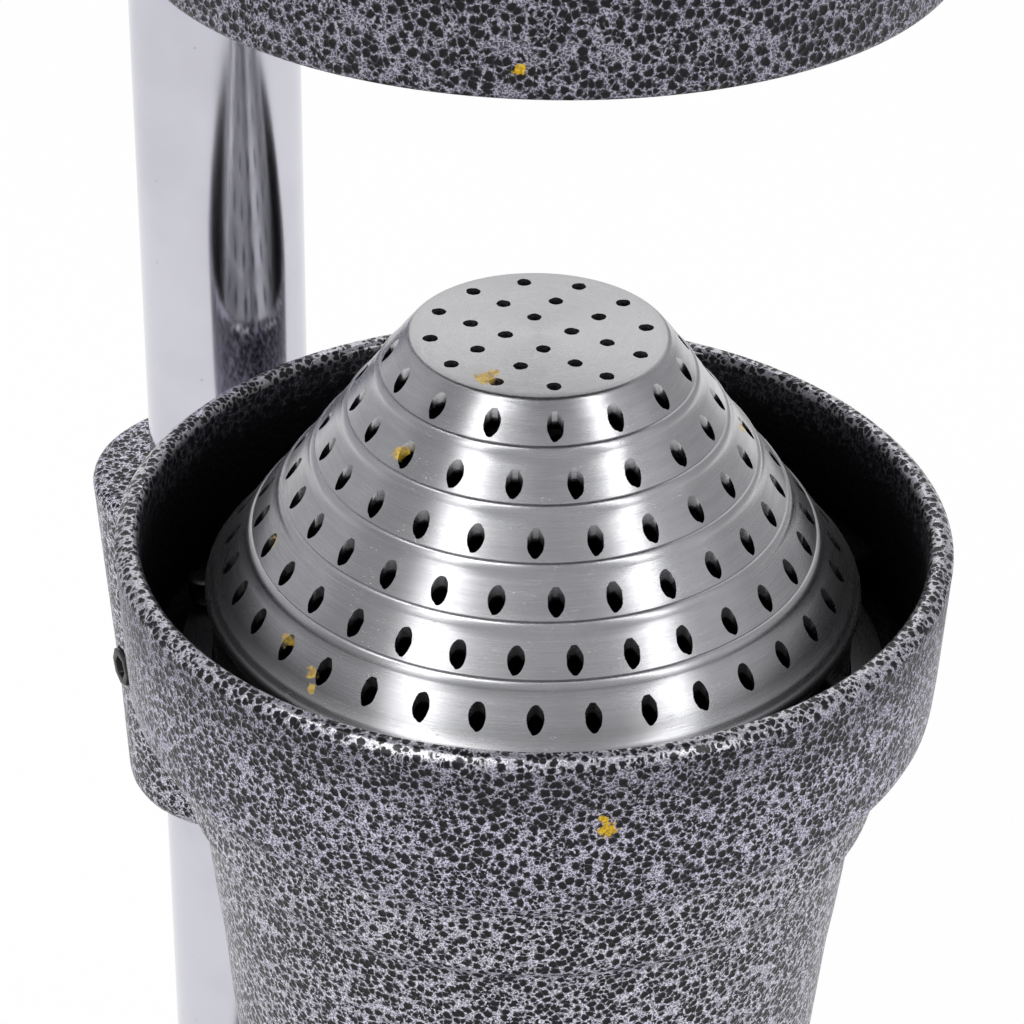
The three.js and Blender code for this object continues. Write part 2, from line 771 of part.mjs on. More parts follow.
function bellGeometry() {
  const holeRadius = ramStudRadius + bellBoltFitGap;
  const innerRadius = bellRadius - bellWall;
  const bossRoot = bellShoulderRise
    + bellDomeHeight * Math.sqrt(1 - (bellBossRadius / bellRadius) ** 2);
  const inner = domePoints(
    innerRadius, bellInnerShoulderRise, bellInnerDomeHeight, bellCrownRise, innerDomeSteps);
  return revolve([
    [holeRadius, bellCrownRise],
    ...inner.reverse(),
    [innerRadius, bellEdgeRound],
    [innerRadius + bellEdgeRound, 0],
    ...roundPoints([bellRadius - bellEdgeRound, bellEdgeRound], bellEdgeRound, -Math.PI / 2, 0, edgeSteps),
    ...domePoints(bellRadius, bellShoulderRise, bellDomeHeight, bossRoot, domeSteps),
    [bellBossRadius, bellBossRise],
    [holeRadius, bellBossRise],
  ]);
}

piece('bell', bellGeometry(), materials.hammertone, ramGroup);
const bellWasherBottom = bellCrownRise - seatGap - bellWasherThickness;
const bellNutBottom = bellWasherBottom - seatGap - bellNutHeight;
piece('bell_washer',
  tube(bellWasherRadius, ramStudRadius + seatGap, bellWasherThickness, smallSegments),
  materials.steel, ramGroup, 0, 0, bellWasherBottom);
piece('bell_nut',
  cut(rod(bellNutRadius, bellNutHeight, hexagonSides),
    rod(ramStudRadius + seatGap, bellNutHeight + 2 * cutOverrun, smallSegments)
      .translate(0, 0, -cutOverrun)),
  materials.steel, ramGroup, 0, 0, bellNutBottom);

// Ram: a round bar with rack teeth milled along its rear, a stud below and a tapped end above
const ramBottom = bellBossRise + seatGap;
const pivotAboveEdge = pivotHeight - bellEdgeHeight;

// The outline of the metal milled away behind the rack, in the upright plane of the ram
function rackCutter() {
  const outline = new THREE.Shape();
  const tip = rackPitchOffset + addendum;
  const root = rackPitchOffset - dedendum;
  const slope = Math.tan(pressureAngle * radians);
  const halfAtPitch = toothPitch / 4 - toothBacklash / 4;
  const halfAtTip = halfAtPitch - addendum * slope;
  const halfAtRoot = halfAtPitch + dedendum * slope;
  const lastTooth = Math.ceil(stroke / toothPitch) + spareTeeth;
  const back = ramRadius + cutOverrun;
  const start = pivotAboveEdge - (spareTeeth + 1 / 2) * toothPitch;
  const end = pivotAboveEdge + (lastTooth + 1 / 2) * toothPitch;
  outline.moveTo(back, start);
  outline.lineTo(root, start);
  for (let tooth = -spareTeeth; tooth <= lastTooth; tooth += 1) {
    const middle = pivotAboveEdge + tooth * toothPitch;
    outline.lineTo(root, middle - halfAtRoot);
    outline.lineTo(tip, middle - halfAtTip);
    outline.lineTo(tip, middle + halfAtTip);
    outline.lineTo(root, middle + halfAtRoot);
  }
  outline.lineTo(root, end);
  outline.lineTo(back, end);
  return sidePlate(outline, 2 * (ramRadius + cutOverrun));
}

function ramGeometry() {
  const topRise = ramTop - bellEdgeHeight;
  const studBottom = bellNutBottom - ramStudSpare;
  const bar = join(
    rod(ramRadius, topRise - ramBottom, mediumSegments).translate(0, 0, ramBottom),
    rod(ramStudRadius, ramBottom - studBottom + cutOverrun, smallSegments).translate(0, 0, studBottom));
  const tapping = rod(ramCapScrewRadius + seatGap, ramCapScrewReach + 2 * cutOverrun, tinySegments)
    .translate(0, 0, topRise - ramCapScrewReach - cutOverrun);
  return cut(bar, rackCutter(), tapping);
}

piece('ram', ramGeometry(), materials.steel, ramGroup);
const ramCapBottom = ramTop - bellEdgeHeight + seatGap;
piece('ram_stop_washer',
  tube(ramCapRadius, ramCapScrewRadius + seatGap, ramCapThickness, smallSegments),
  materials.steel, ramGroup, 0, 0, ramCapBottom);

function ramCapScrewGeometry() {
  const socket = rod(ramCapScrewHeadRadius / 2, ramCapScrewHeadHeight / 2 + cutOverrun, hexagonSides)
    .translate(0, 0, ramCapScrewHeadHeight / 2);
  const shankLength = ramCapScrewReach + ramCapThickness;
  return cut(join(rod(ramCapScrewHeadRadius, ramCapScrewHeadHeight, smallSegments),
    rod(ramCapScrewRadius, shankLength + cutOverrun, tinySegments).translate(0, 0, -shankLength)), socket);
}

piece('ram_stop_screw', ramCapScrewGeometry(), materials.blackSteel, ramGroup,
  0, 0, ramCapBottom + ramCapThickness + seatGap);

// Head: two cheeks that carry the pivot, joined by the ram's barrel in front and the column's boss
const headGroup = new THREE.Group();
headGroup.position.set(0, cupAxisY, 0);
press.add(headGroup);

function headOutline() {
  const outline = new THREE.Shape();
  const plateReach = headBossRadius * headPlateSpanShare;
  outline.moveTo(0, barrelBottom);
  outline.lineTo(barrelRadius, barrelBottom);
  outline.lineTo(columnOffset - plateReach, headArmHeight);
  outline.lineTo(columnOffset + plateReach, headArmHeight);
  outline.lineTo(columnOffset + plateReach, headBossTop);
  outline.absarc(pivotOffset, pivotHeight, headEyeRadius,
    headEyeStartAngle * radians, headEyeEndAngle * radians, false);
  outline.lineTo(barrelRadius / 2, barrelTop);
  outline.lineTo(0, barrelTop);
  return outline;
}

// The upper stop meets the lever hub's ear at rest, and the lower one its arm at the end of the swing
function stopSpread(halfWidth) {
  return Math.asin((halfWidth + stopPinRadius + seatGap) / stopPinOffset);
}

const armHalfWidth = Math.sqrt(hubArmRadius ** 2 - (hubWidth / 2 - stopEarThickness) ** 2);
const stopAngles = {
  upper: (stopEarLead - leverRestTilt) * radians - stopSpread(stopEarWidth / 2),
  lower: leverSwing - leverRestTilt * radians + stopSpread(armHalfWidth),
};

function stopPlace(angle) {
  return [pivotOffset - stopPinOffset * Math.sin(angle), pivotHeight + stopPinOffset * Math.cos(angle)];
}

const headScrewHeights = [-1, 1].map((side) => (headBossBottom + headBossTop - headBossRoof) / 2
  + side * headScrewSpacing / 2);

function headGeometry() {
  const boss = revolve([
    [0, headBossBottom],
    ...roundPoints([headBossRadius - headBossEdgeRound, headBossBottom + headBossEdgeRound],
      headBossEdgeRound, -Math.PI / 2, 0, cornerSteps),
    [headBossRadius, headBossTop],
    [0, headBossTop],
  ], mediumSegments).translate(0, columnOffset, 0);
  const barrel = rod(barrelRadius, barrelTop - barrelBottom, mediumSegments).translate(0, 0, barrelBottom);
  const cheeks = sidePlate(headOutline(), 2 * headHalfWidth);
  const sweep = crossRod(sectorSweepRadius, headSlotWidth, largeSegments)
    .translate(0, pivotOffset, pivotHeight);
  const ramBore = rod(guideBushRadius + seatGap, barrelTop - barrelBottom + 2 * cutOverrun)
    .translate(0, 0, barrelBottom - cutOverrun);
  const columnBore = rod(columnRadius + columnFitGap, columnTop + seatGap - headBossBottom + cutOverrun)
    .translate(0, columnOffset, headBossBottom - cutOverrun);
  const shaftBore = crossRod(shaftBushRadius + seatGap, 2 * (headHalfWidth + cutOverrun))
    .translate(0, pivotOffset, pivotHeight);
  const pinHoleLength = stopPinSink + cutOverrun;
  const pinHoles = Object.values(stopAngles).map((angle) => {
    const [y, z] = stopPlace(angle);
    return crossRod(stopPinRadius + seatGap, pinHoleLength, tinySegments)
      .translate(headHalfWidth - stopPinSink - seatGap + pinHoleLength / 2, y, z);
  });
  const screwHoles = headScrewHeights.map((height) => seatedScrewTool(
    height, Math.PI / 2, columnRadius, headBossRadius).translate(0, columnOffset, 0));
  return cut(join(boss, barrel, cheeks), sweep, ramBore, columnBore, shaftBore, ...pinHoles, ...screwHoles);
}

piece('head', headGeometry(), materials.hammertone, headGroup);

const headScrewGroup = new THREE.Group();
headScrewGroup.position.set(0, columnOffset, 0);
headGroup.add(headScrewGroup);
['lower', 'upper'].forEach((place, i) => {
  seatedSetScrew(`head_set_screw_${place}`, headScrewGroup, headScrewHeights[i], Math.PI / 2,
    columnRadius + seatGap);
});

// Flanged bronze bush of the ram, flange downwards
function guideBushGeometry() {
  return revolve([
    [ramRadius + seatGap, 0],
    [guideBushFlangeRadius, 0],
    [guideBushFlangeRadius, guideBushFlange - seatGap],
    [guideBushRadius, guideBushFlange - seatGap],
    [guideBushRadius, guideBushFlange + guideBushLength],
    [ramRadius + seatGap, guideBushFlange + guideBushLength],
  ], mediumSegments);
}

piece('guide_bush_lower', guideBushGeometry(), materials.bronze, headGroup,
  0, 0, barrelBottom - guideBushFlange);
piece('guide_bush_upper', guideBushGeometry(), materials.bronze, headGroup,
  0, 0, barrelTop + guideBushFlange).rotation.x = Math.PI;

['upper', 'lower'].forEach((place) => {
  const [y, z] = stopPlace(stopAngles[place]);
  const pinLength = stopPinSink + hubInnerFace - headHalfWidth + stopEarThickness;
  piece(`stop_pin_${place}`, crossRod(stopPinRadius, pinLength, tinySegments), materials.steel, headGroup,
    headHalfWidth - stopPinSink + pinLength / 2, y, z);
});

// Shaft bushes: pressed into the cheeks from outside
const pivotGroup = new THREE.Group();
pivotGroup.position.set(0, pivotOffset, pivotHeight);
headGroup.add(pivotGroup);

function shaftBushGeometry() {
  return revolve([
    [shaftRadius + seatGap, 0],
    [shaftBushRadius, 0],
    [shaftBushRadius, headCheek + seatGap],
    [shaftBushFlangeRadius, headCheek + seatGap],
    [shaftBushFlangeRadius, headCheek + shaftBushFlange],
    [shaftRadius + seatGap, headCheek + shaftBushFlange],
  ], smallSegments);
}

piece('shaft_bush_right', shaftBushGeometry(), materials.bronze, pivotGroup, headSlotWidth / 2)
  .rotation.y = Math.PI / 2;
piece('shaft_bush_left', shaftBushGeometry(), materials.bronze, pivotGroup, -headSlotWidth / 2)
  .rotation.y = -Math.PI / 2;

// Sector: involute teeth on a quarter-like blade with round windows and a hub
const leverGroup = new THREE.Group();
leverGroup.position.copy(pivotGroup.position);
headGroup.add(leverGroup);

// A point of the sector at an angle from the rack's side upwards
function sectorPoint(radius, angle) {
  return new THREE.Vector2(-radius * Math.cos(angle), radius * Math.sin(angle));
}

function involute(angle) {
  return Math.tan(angle) - angle;
}

// Half the angle that a tooth spans at a radius
function halfToothAngle(radius) {
  const baseRadius = pitchRadius * Math.cos(pressureAngle * radians);
  const halfAtPitch = Math.PI / (2 * fullCircleTeeth) - toothBacklash / (4 * pitchRadius);
  const rollAngle = Math.acos(Math.min(1, baseRadius / radius));
  return halfAtPitch + involute(pressureAngle * radians) - involute(rollAngle);
}

function sectorOutline() {
  const rootRadius = pitchRadius - dedendum;
  const tipRadius = pitchRadius + addendum;
  const pitchAngle = 2 * Math.PI / fullCircleTeeth;
  const lastTooth = Math.ceil(leverSwing / pitchAngle) + spareTeeth - 1;
  const points = [sectorPoint(rootRadius, (-spareTeeth - 1 / 2) * pitchAngle)];
  const flankRadii = Array.from({ length: flankSteps + 1 },
    (_, i) => rootRadius + (tipRadius - rootRadius) * i / flankSteps);
  for (let tooth = -spareTeeth; tooth <= lastTooth; tooth += 1) {
    const middle = (tooth + 1 / 2) * pitchAngle;
    flankRadii.forEach((radius) => points.push(sectorPoint(radius, middle - halfToothAngle(radius))));
    [...flankRadii].reverse()
      .forEach((radius) => points.push(sectorPoint(radius, middle + halfToothAngle(radius))));
  }
  points.push(sectorPoint(rootRadius, (lastTooth + 3 / 2) * pitchAngle));
  points.push(new THREE.Vector2(0, 0));
  return new THREE.Shape(points);
}

function sectorGeometry() {
  const middle = leverSwing / 2;
  const windows = Array.from({ length: sectorWindowCount }, (_, i) => {
    const place = sectorPoint(sectorWindowOffset,
      middle + (i - (sectorWindowCount - 1) / 2) * leverSwing / sectorWindowCount);
    return crossRod(sectorWindowRadius, sectorThickness + 2 * cutOverrun, windowSegments)
      .translate(0, place.x, place.y);
  });
  const hubWidthInSlot = headSlotWidth - 2 * sectorHubGap;
  const plate = sidePlate(sectorOutline(), sectorThickness);
  const blade = join(plate, crossRod(sectorHubRadius, hubWidthInSlot));
  const bore = crossRod(shaftRadius + seatGap, hubWidthInSlot + 2 * cutOverrun);
  return cut(blade, bore, crossPinHole(), ...windows);
}

// The cross pin goes through hub and shaft, square to the middle of the toothed arc
const crossPinAngle = leverSwing / 2;
const crossPinLength = 2 * (sectorHubRadius - seatGap);

function alongCrossPin(geometry) {
  return geometry.rotateX(Math.PI - crossPinAngle);
}

function crossPinHole() {
  const length = 2 * (sectorHubRadius + cutOverrun);
  return alongCrossPin(rod(crossPinRadius + seatGap, length, tinySegments).translate(0, 0, -length / 2));
}

piece('sector', sectorGeometry(), materials.steel, leverGroup);
piece('sector_pin',
  alongCrossPin(rod(crossPinRadius, crossPinLength, tinySegments).translate(0, 0, -crossPinLength / 2)),
  materials.steel, leverGroup);

// Pivot shaft with its collar at the left end and a thread for the nut at the right
const shaftLeft = -(headHalfWidth + shaftBushFlange + seatGap + shaftCollarWidth + shaftEndSpare);
const shaftRight = hubOuterFace + seatGap + hubWasherThickness + hubNutHeight;

function shaftGeometry() {
  const plainLength = hubOuterFace - shaftLeft;
  const threadLength = shaftRight - hubOuterFace + cutOverrun;
  const bar = join(
    crossRod(shaftRadius, plainLength, smallSegments).translate(shaftLeft + plainLength / 2, 0, 0),
    crossRod(shaftThreadRadius, threadLength, smallSegments)
      .translate(shaftRight - threadLength / 2, 0, 0));
  return cut(bar, crossPinHole());
}

piece('pivot_shaft', shaftGeometry(), materials.steel, leverGroup);

const shaftCollarMiddle = -(headHalfWidth + shaftBushFlange + seatGap + shaftCollarWidth / 2);

function shaftCollarGeometry() {
  const bore = crossRod(shaftRadius + seatGap, shaftCollarWidth + 2 * cutOverrun, smallSegments);
  const ring = crossRod(shaftCollarRadius, shaftCollarWidth, smallSegments);
  const tapping = setScrewHole(shaftCollarRadius).translate(0, 0, shaftRadius);
  return cut(ring, bore, tapping);
}

piece('shaft_collar', shaftCollarGeometry(), materials.steel, leverGroup, shaftCollarMiddle);
piece('shaft_collar_screw', setScrew(), materials.blackSteel, leverGroup,
  shaftCollarMiddle, 0, shaftRadius + seatGap);

// Lever: hub, bar and grip, modelled upright and tilted back to the rest position
const leverArm = new THREE.Group();
leverArm.rotation.x = -leverRestTilt * radians;
leverGroup.add(leverArm);

function hubGeometry() {
  const barrel = crossRod(hubRadius, hubWidth, mediumSegments);
  const arm = rod(hubArmRadius, hubArmReach, mediumSegments, hubArmTipRadius);
  const ear = block(stopEarThickness, stopEarWidth, stopEarReach)
    .translate(-hubWidth / 2 + stopEarThickness / 2, 0, stopEarReach / 2)
    .rotateX(stopEarLead * radians);
  const bore = crossRod(shaftRadius + seatGap, hubWidth + 2 * cutOverrun, smallSegments);
  const socket = rod(leverRadius + seatGap, hubArmReach, smallSegments).translate(0, 0, hubSocketStart);
  const barScrewHole = setScrewHole(hubArmRadius).rotateY(Math.PI / 2)
    .translate(leverRadius, 0, (hubSocketStart + hubArmReach) / 2);
  const shaftScrewHole = setScrewHole(hubRadius).translate(0, 0, shaftRadius).rotateX(Math.PI);
  return cut(join(barrel, arm, ear), bore, socket, barScrewHole, shaftScrewHole);
}

piece('lever_hub', hubGeometry(), materials.hammertone, leverArm, hubMiddle);
piece('hub_set_screw', setScrew(), materials.blackSteel, leverArm, hubMiddle, 0, -shaftRadius - seatGap)
  .rotation.x = Math.PI;
piece('lever_set_screw', setScrew(), materials.blackSteel, leverArm,
  hubMiddle + leverRadius + seatGap, 0, (hubSocketStart + hubArmReach) / 2)
  .rotation.y = Math.PI / 2;
piece('hub_washer',
  tube(hubWasherRadius, shaftThreadRadius + seatGap, hubWasherThickness, smallSegments),
  materials.steel, leverGroup, hubOuterFace + seatGap)
  .rotation.y = Math.PI / 2;

function domeNutGeometry() {
  const hex = rod(hubNutRadius, hubNutHeight, hexagonSides);
  const faceRadius = hubNutRadius * hubNutFaceShare;
  const domeTop = hubNutHeight + hubNutDome;
  const dome = revolve([
    [0, 0],
    [faceRadius, 0],
    ...domePoints(faceRadius, hubNutHeight, hubNutDome, domeTop, capSteps).slice(0, -1),
    [0, domeTop],
  ], smallSegments);
  const tapping = rod(shaftThreadRadius + seatGap, hubNutHeight + cutOverrun, smallSegments)
    .translate(0, 0, -cutOverrun);
  return cut(join(hex, dome), tapping);
}

piece('hub_nut', domeNutGeometry(), materials.chrome, leverGroup,
  hubOuterFace + 2 * seatGap + hubWasherThickness)
  .rotation.y = Math.PI / 2;

const gripTop = leverReach;
const gripBottom = gripTop - gripLength;

function leverBarGeometry() {
  const start = hubSocketStart + seatGap;
  const bar = rod(leverRadius, gripTop - start, smallSegments).translate(0, 0, start);
  const tapping = rod(gripCapStudRadius + seatGap, gripCapStudLength + 2 * cutOverrun, tinySegments)
    .translate(0, 0, gripTop - gripCapStudLength - cutOverrun);
  return cut(bar, tapping);
}

piece('lever_bar', leverBarGeometry(), materials.chrome, leverArm, hubMiddle);

// Grip: a sleeve that swells under the palm and flares at its lower end
const gripHeightShares = [0, 0.04, 0.12, 0.3, 0.55, 0.8, 1];
const gripSwellShares = [0.8, 1, 0.4, 0.6, 1, 0.6, 0.1];

function gripGeometry() {
  const bore = leverRadius + seatGap;
  const outer = gripHeightShares.map((share, i) => [
    gripWaistRadius + (gripRadius - gripWaistRadius) * gripSwellShares[i], gripLength * share]);
  return revolve([[bore, 0], ...outer, [bore, gripLength]], mediumSegments);
}

piece('lever_grip', gripGeometry(), materials.gripPlastic, leverArm, hubMiddle, 0, gripBottom);

function gripCapGeometry() {
  const dome = revolve([
    [0, 0],
    [gripEndRadius, 0],
    ...domePoints(
      gripEndRadius, gripCapRimHeight, gripCapHeight - gripCapRimHeight, gripCapHeight, capSteps)
      .slice(0, -1),
    [0, gripCapHeight],
  ], mediumSegments);
  const stud = rod(gripCapStudRadius, gripCapStudLength + cutOverrun, tinySegments)
    .translate(0, 0, -gripCapStudLength);
  return join(dome, stud);
}

piece('grip_cap', gripCapGeometry(), materials.chrome, leverArm, hubMiddle, 0, gripTop + seatGap);

export default press;
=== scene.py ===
"""Looks of the lever citrus press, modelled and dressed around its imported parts.

Lengths in this file are millimetres until a piece is modelled, and then metres. The heights in the profiles
of the cup and the strainer are measured from the cup's rim, and those of the bell from its lower edge.
"""

from __future__ import annotations

import logging
import math
import random
from dataclasses import dataclass, field
from enum import Enum
from typing import Callable, Optional, Sequence, Union

import bmesh
import bpy
from mathutils import Matrix, Vector

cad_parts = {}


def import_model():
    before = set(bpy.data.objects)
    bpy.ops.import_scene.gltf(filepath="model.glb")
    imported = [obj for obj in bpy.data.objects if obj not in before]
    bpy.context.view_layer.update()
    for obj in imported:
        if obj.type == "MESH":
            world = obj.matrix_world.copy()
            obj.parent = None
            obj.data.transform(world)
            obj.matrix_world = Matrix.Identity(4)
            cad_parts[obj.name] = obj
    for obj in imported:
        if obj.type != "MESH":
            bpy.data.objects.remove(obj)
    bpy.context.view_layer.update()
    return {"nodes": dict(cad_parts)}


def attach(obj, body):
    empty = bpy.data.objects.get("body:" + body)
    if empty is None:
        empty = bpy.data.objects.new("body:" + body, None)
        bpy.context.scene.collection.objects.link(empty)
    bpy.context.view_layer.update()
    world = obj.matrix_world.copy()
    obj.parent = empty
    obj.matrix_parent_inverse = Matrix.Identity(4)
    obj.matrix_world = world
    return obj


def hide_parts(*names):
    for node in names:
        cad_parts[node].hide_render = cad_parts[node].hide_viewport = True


log = logging.getLogger("press")

MM = 0.001
TO_MM = (1000.0, 1000.0, 1000.0)
FULL_TURN = 2 * math.pi

Point = tuple[float, float]
Place = tuple[float, float, float]
Colour = tuple[float, float, float]
Step = tuple[float, float]
Grain = tuple[float, float, float]
Spot = tuple[float, float, float, float]


class Body(Enum):
    """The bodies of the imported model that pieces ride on."""

    STAND = "stand"
    CUP = "cup_carrier"
    STRAINER = "strainer_insert"
    RAM = "press_ram"
    LEVER = "lever_arm"


class Slot(Enum):
    """The record's material slots."""

    HAMMERTONE = "hammertone"
    CHROME = "chrome"
    ALUMINIUM = "cast_aluminium"
    STEEL = "steel"
    BLACK_STEEL = "black_steel"
    BRONZE = "bronze"
    RUBBER = "rubber"
    GRIP = "grip_plastic"


class Cut(Enum):
    """What a boolean cut or joint does with its tool."""

    REMOVE = "DIFFERENCE"
    JOIN = "UNION"


def _operator(operation: str, reflected: bool = False) -> Callable[["Signal", "Operand"], "Signal"]:
    """One of Python's operators, or a function of two values, as a Math node.

    Args:
        operation: the Math node's operation.
        reflected: whether the other value comes first.

    Returns:
        The method.
    """

    def apply(self: "Signal", other: "Operand") -> "Signal":
        """Adds the Math node."""
        return self.computed(operation, *((other, self) if reflected else (self, other)))

    return apply


class Signal:
    """A number on its way through a node tree; Python's operators add its Math nodes."""

    __add__ = _operator("ADD")
    __radd__ = _operator("ADD", reflected=True)
    __sub__ = _operator("SUBTRACT")
    __rsub__ = _operator("SUBTRACT", reflected=True)
    __mul__ = _operator("MULTIPLY")
    __rmul__ = _operator("MULTIPLY", reflected=True)
    __truediv__ = _operator("DIVIDE")
    __rtruediv__ = _operator("DIVIDE", reflected=True)
    arctan = _operator("ARCTAN2")
    largest = _operator("MAXIMUM")
    smallest = _operator("MINIMUM")

    def __init__(self, recipe: "Recipe", socket: bpy.types.NodeSocket) -> None:
        """Wraps an output socket of a recipe's node."""
        self.recipe = recipe
        self.socket = socket

    def computed(self, operation: str, *values: "Operand") -> "Signal":
        """The result of one Math node on its inputs, in order."""
        node = self.recipe.node("ShaderNodeMath", {"operation": operation}, dict(enumerate(values)))
        return Signal(self.recipe, node.outputs[0])

    def step(self, low: float, high: float, start: float = 0.0, end: float = 1.0) -> "Signal":
        """A smooth step.

        Args:
            low: the value at which the step starts.
            high: the value at which it ends.
            start: the result up to low.
            end: the result from high.

        Returns:
            The stepped value.
        """
        node = self.recipe.node(
            "ShaderNodeMapRange",
            {"interpolation_type": "SMOOTHSTEP"},
            {"Value": self, "From Min": low, "From Max": high, "To Min": start, "To Max": end},
        )
        return Signal(self.recipe, node.outputs["Result"])


Operand = Union[Signal, float]
Input = Union[Signal, bpy.types.NodeSocket, float, Sequence[float]]


class Recipe:
    """One material's node tree, and the ways to add to it."""

    def __init__(self, owner: Union[bpy.types.Material, bpy.types.World]) -> None:
        """Empties a node tree and works on it.

        Args:
            owner: the material or world whose tree it is.
        """
        self.owner = owner
        owner.use_nodes = True
        self.tree = owner.node_tree
        self.tree.nodes.clear()

    def node(self, kind: str, settings: Optional[dict] = None,
             inputs: Optional[dict] = None) -> bpy.types.Node:
        """Adds a node of any kind.

        Args:
            kind: the node's type.
            settings: its properties, which are set first.
            inputs: values or links for its sockets, by name or number.

        Returns:
            The node.
        """
        made = self.tree.nodes.new(kind)
        for key, value in (settings or {}).items():
            setattr(made, key, value)
        for key, value in (inputs or {}).items():
            if isinstance(value, Signal):
                self.tree.links.new(value.socket, made.inputs[key])
            elif isinstance(value, bpy.types.NodeSocket):
                self.tree.links.new(value, made.inputs[key])
            else:
                made.inputs[key].default_value = value
        return made

    def place(self, offset: Sequence[float] = (0, 0, 0),
              scale: Sequence[float] = TO_MM) -> bpy.types.NodeSocket:
        """The point on the object, in millimetres from a chosen origin.

        Args:
            offset: the origin, in millimetres.
            scale: how much the point is scaled, from metres.

        Returns:
            A vector socket.
        """
        coords = self.node("ShaderNodeTexCoord")
        mapping = self.node("ShaderNodeMapping", None, {
            "Vector": coords.outputs["Object"],
            "Scale": tuple(scale),
            "Location": tuple(-o for o in offset),
        })
        return mapping.outputs["Vector"]

    def split(self, vector: bpy.types.NodeSocket) -> tuple[Signal, Signal, Signal]:
        """The three numbers of a vector."""
        node = self.node("ShaderNodeSeparateXYZ", None, {0: vector})
        return tuple(Signal(self, socket) for socket in node.outputs)

    def joined(self, x: Input, y: Input, z: Input) -> bpy.types.NodeSocket:
        """A vector of three numbers."""
        return self.node("ShaderNodeCombineXYZ", None, {0: x, 1: y, 2: z}).outputs[0]

    def vector(self, operation: str, *values: Input) -> bpy.types.NodeSocket:
        """One Vector Math step on vectors."""
        node = self.node("ShaderNodeVectorMath", {"operation": operation}, dict(enumerate(values)))
        return node.outputs["Vector"]

    def length(self, vector: bpy.types.NodeSocket) -> Signal:
        """A vector's length."""
        node = self.node("ShaderNodeVectorMath", {"operation": "LENGTH"}, {0: vector})
        return Signal(self, node.outputs["Value"])

    def noise(self, vector: bpy.types.NodeSocket, grain: Grain) -> Signal:
        """Soft noise from 0 to 1.

        Args:
            vector: the vector that it lies on.
            grain: its scale, detail and roughness.

        Returns:
            The noise.
        """
        node = self.node("ShaderNodeTexNoise", None, dict(
            zip(("Vector", "Scale", "Detail", "Roughness"), (vector, *grain))))
        return Signal(self, node.outputs[0])

    def warped(self, vector: bpy.types.NodeSocket, scale: float, amount: float) -> bpy.types.NodeSocket:
        """A vector pushed about by noise, so that a pattern on it loses its regularity.

        Args:
            vector: the vector.
            scale: the noise's scale.
            amount: how far it pushes.

        Returns:
            The pushed vector.
        """
        node = self.node("ShaderNodeTexNoise", None, {"Vector": vector, "Scale": scale, "Detail": 1.0})
        centred = self.vector("SUBTRACT", node.outputs[1], (0.5, 0.5, 0.5))
        push = self.vector("MULTIPLY", centred, (amount, amount, amount))
        return self.vector("ADD", vector, push)

    def cells(self, vector: bpy.types.NodeSocket, scale: float, feature: str = "F1") -> Signal:
        """Distance inside Voronoi cells."""
        node = self.node("ShaderNodeTexVoronoi", {"feature": feature}, {"Vector": vector, "Scale": scale})
        return Signal(self, node.outputs["Distance"])

    def blend(self, share: Input, low: Input, high: Input) -> bpy.types.NodeSocket:
        """A colour between two.

        Args:
            share: how much of the second it has, from 0 to 1.
            low: the first colour.
            high: the second colour.

        Returns:
            The colour's socket.
        """
        low, high = (self._opaque(colour) for colour in (low, high))
        node = self.node("ShaderNodeMix", {"data_type": "RGBA"}, {0: share, 6: low, 7: high})
        return node.outputs[2]

    @staticmethod
    def _opaque(colour: Input) -> Input:
        """A plain colour with its alpha; a socket as it is."""
        return (*colour, 1.0) if isinstance(colour, tuple) and len(colour) == 3 else colour

    def relief(self, height: Signal, depth: float, strength: float) -> bpy.types.NodeSocket:
        """A bump of a height from 0 to 1.

        Args:
            height: the relief's height.
            depth: what a height of 1 is, in millimetres.
            strength: how strongly it shows.

        Returns:
            The bumped normal.
        """
        inputs = {"Height": height, "Distance": depth * MM, "Strength": strength}
        return self.node("ShaderNodeBump", None, inputs).outputs["Normal"]

    def stain(self, spots: Sequence[Spot], grain: Grain = (0.9, 3.0, 0.7), ragged: float = 2.6,
              edge: Step = (1.0, 0.7)) -> Signal:
        """Where small ragged spots lie.

        Args:
            spots: for each spot its place and its reach, in millimetres.
            grain: the noise that wears their edges.
            ragged: how strongly it does.
            edge: where a spot starts and where it is full, as shares of its reach.

        Returns:
            1 on a spot and 0 off it.
        """
        wear = (self.noise(self.place(), grain) - 0.5) * ragged
        shares = [(self.length(self.place((x, y, z))) * (1 / reach) + wear).step(*edge)
                  for x, y, z, reach in spots]
        share = shares[0]
        for other in shares[1:]:
            share = share.largest(other)
        return share

    def surface(self, **sockets: Input) -> bpy.types.Material:
        """Ends the recipe in a Principled shader.

        Args:
            sockets: its inputs by name, with _ for each space.

        Returns:
            The material.
        """
        inputs = {key.replace("_", " "): self._opaque(value) for key, value in sockets.items()}
        shader = self.node("ShaderNodeBsdfPrincipled", None, inputs)
        self.node("ShaderNodeOutputMaterial", None, {"Surface": shader.outputs[0]})
        return self.owner

    def glow(self, colour: Input, strength: float = 1.0) -> bpy.types.NodeSocket:
        """Plain light of a colour."""
        inputs = {"Color": self._opaque(colour), "Strength": strength}
        return self.node("ShaderNodeEmission", None, inputs).outputs[0]


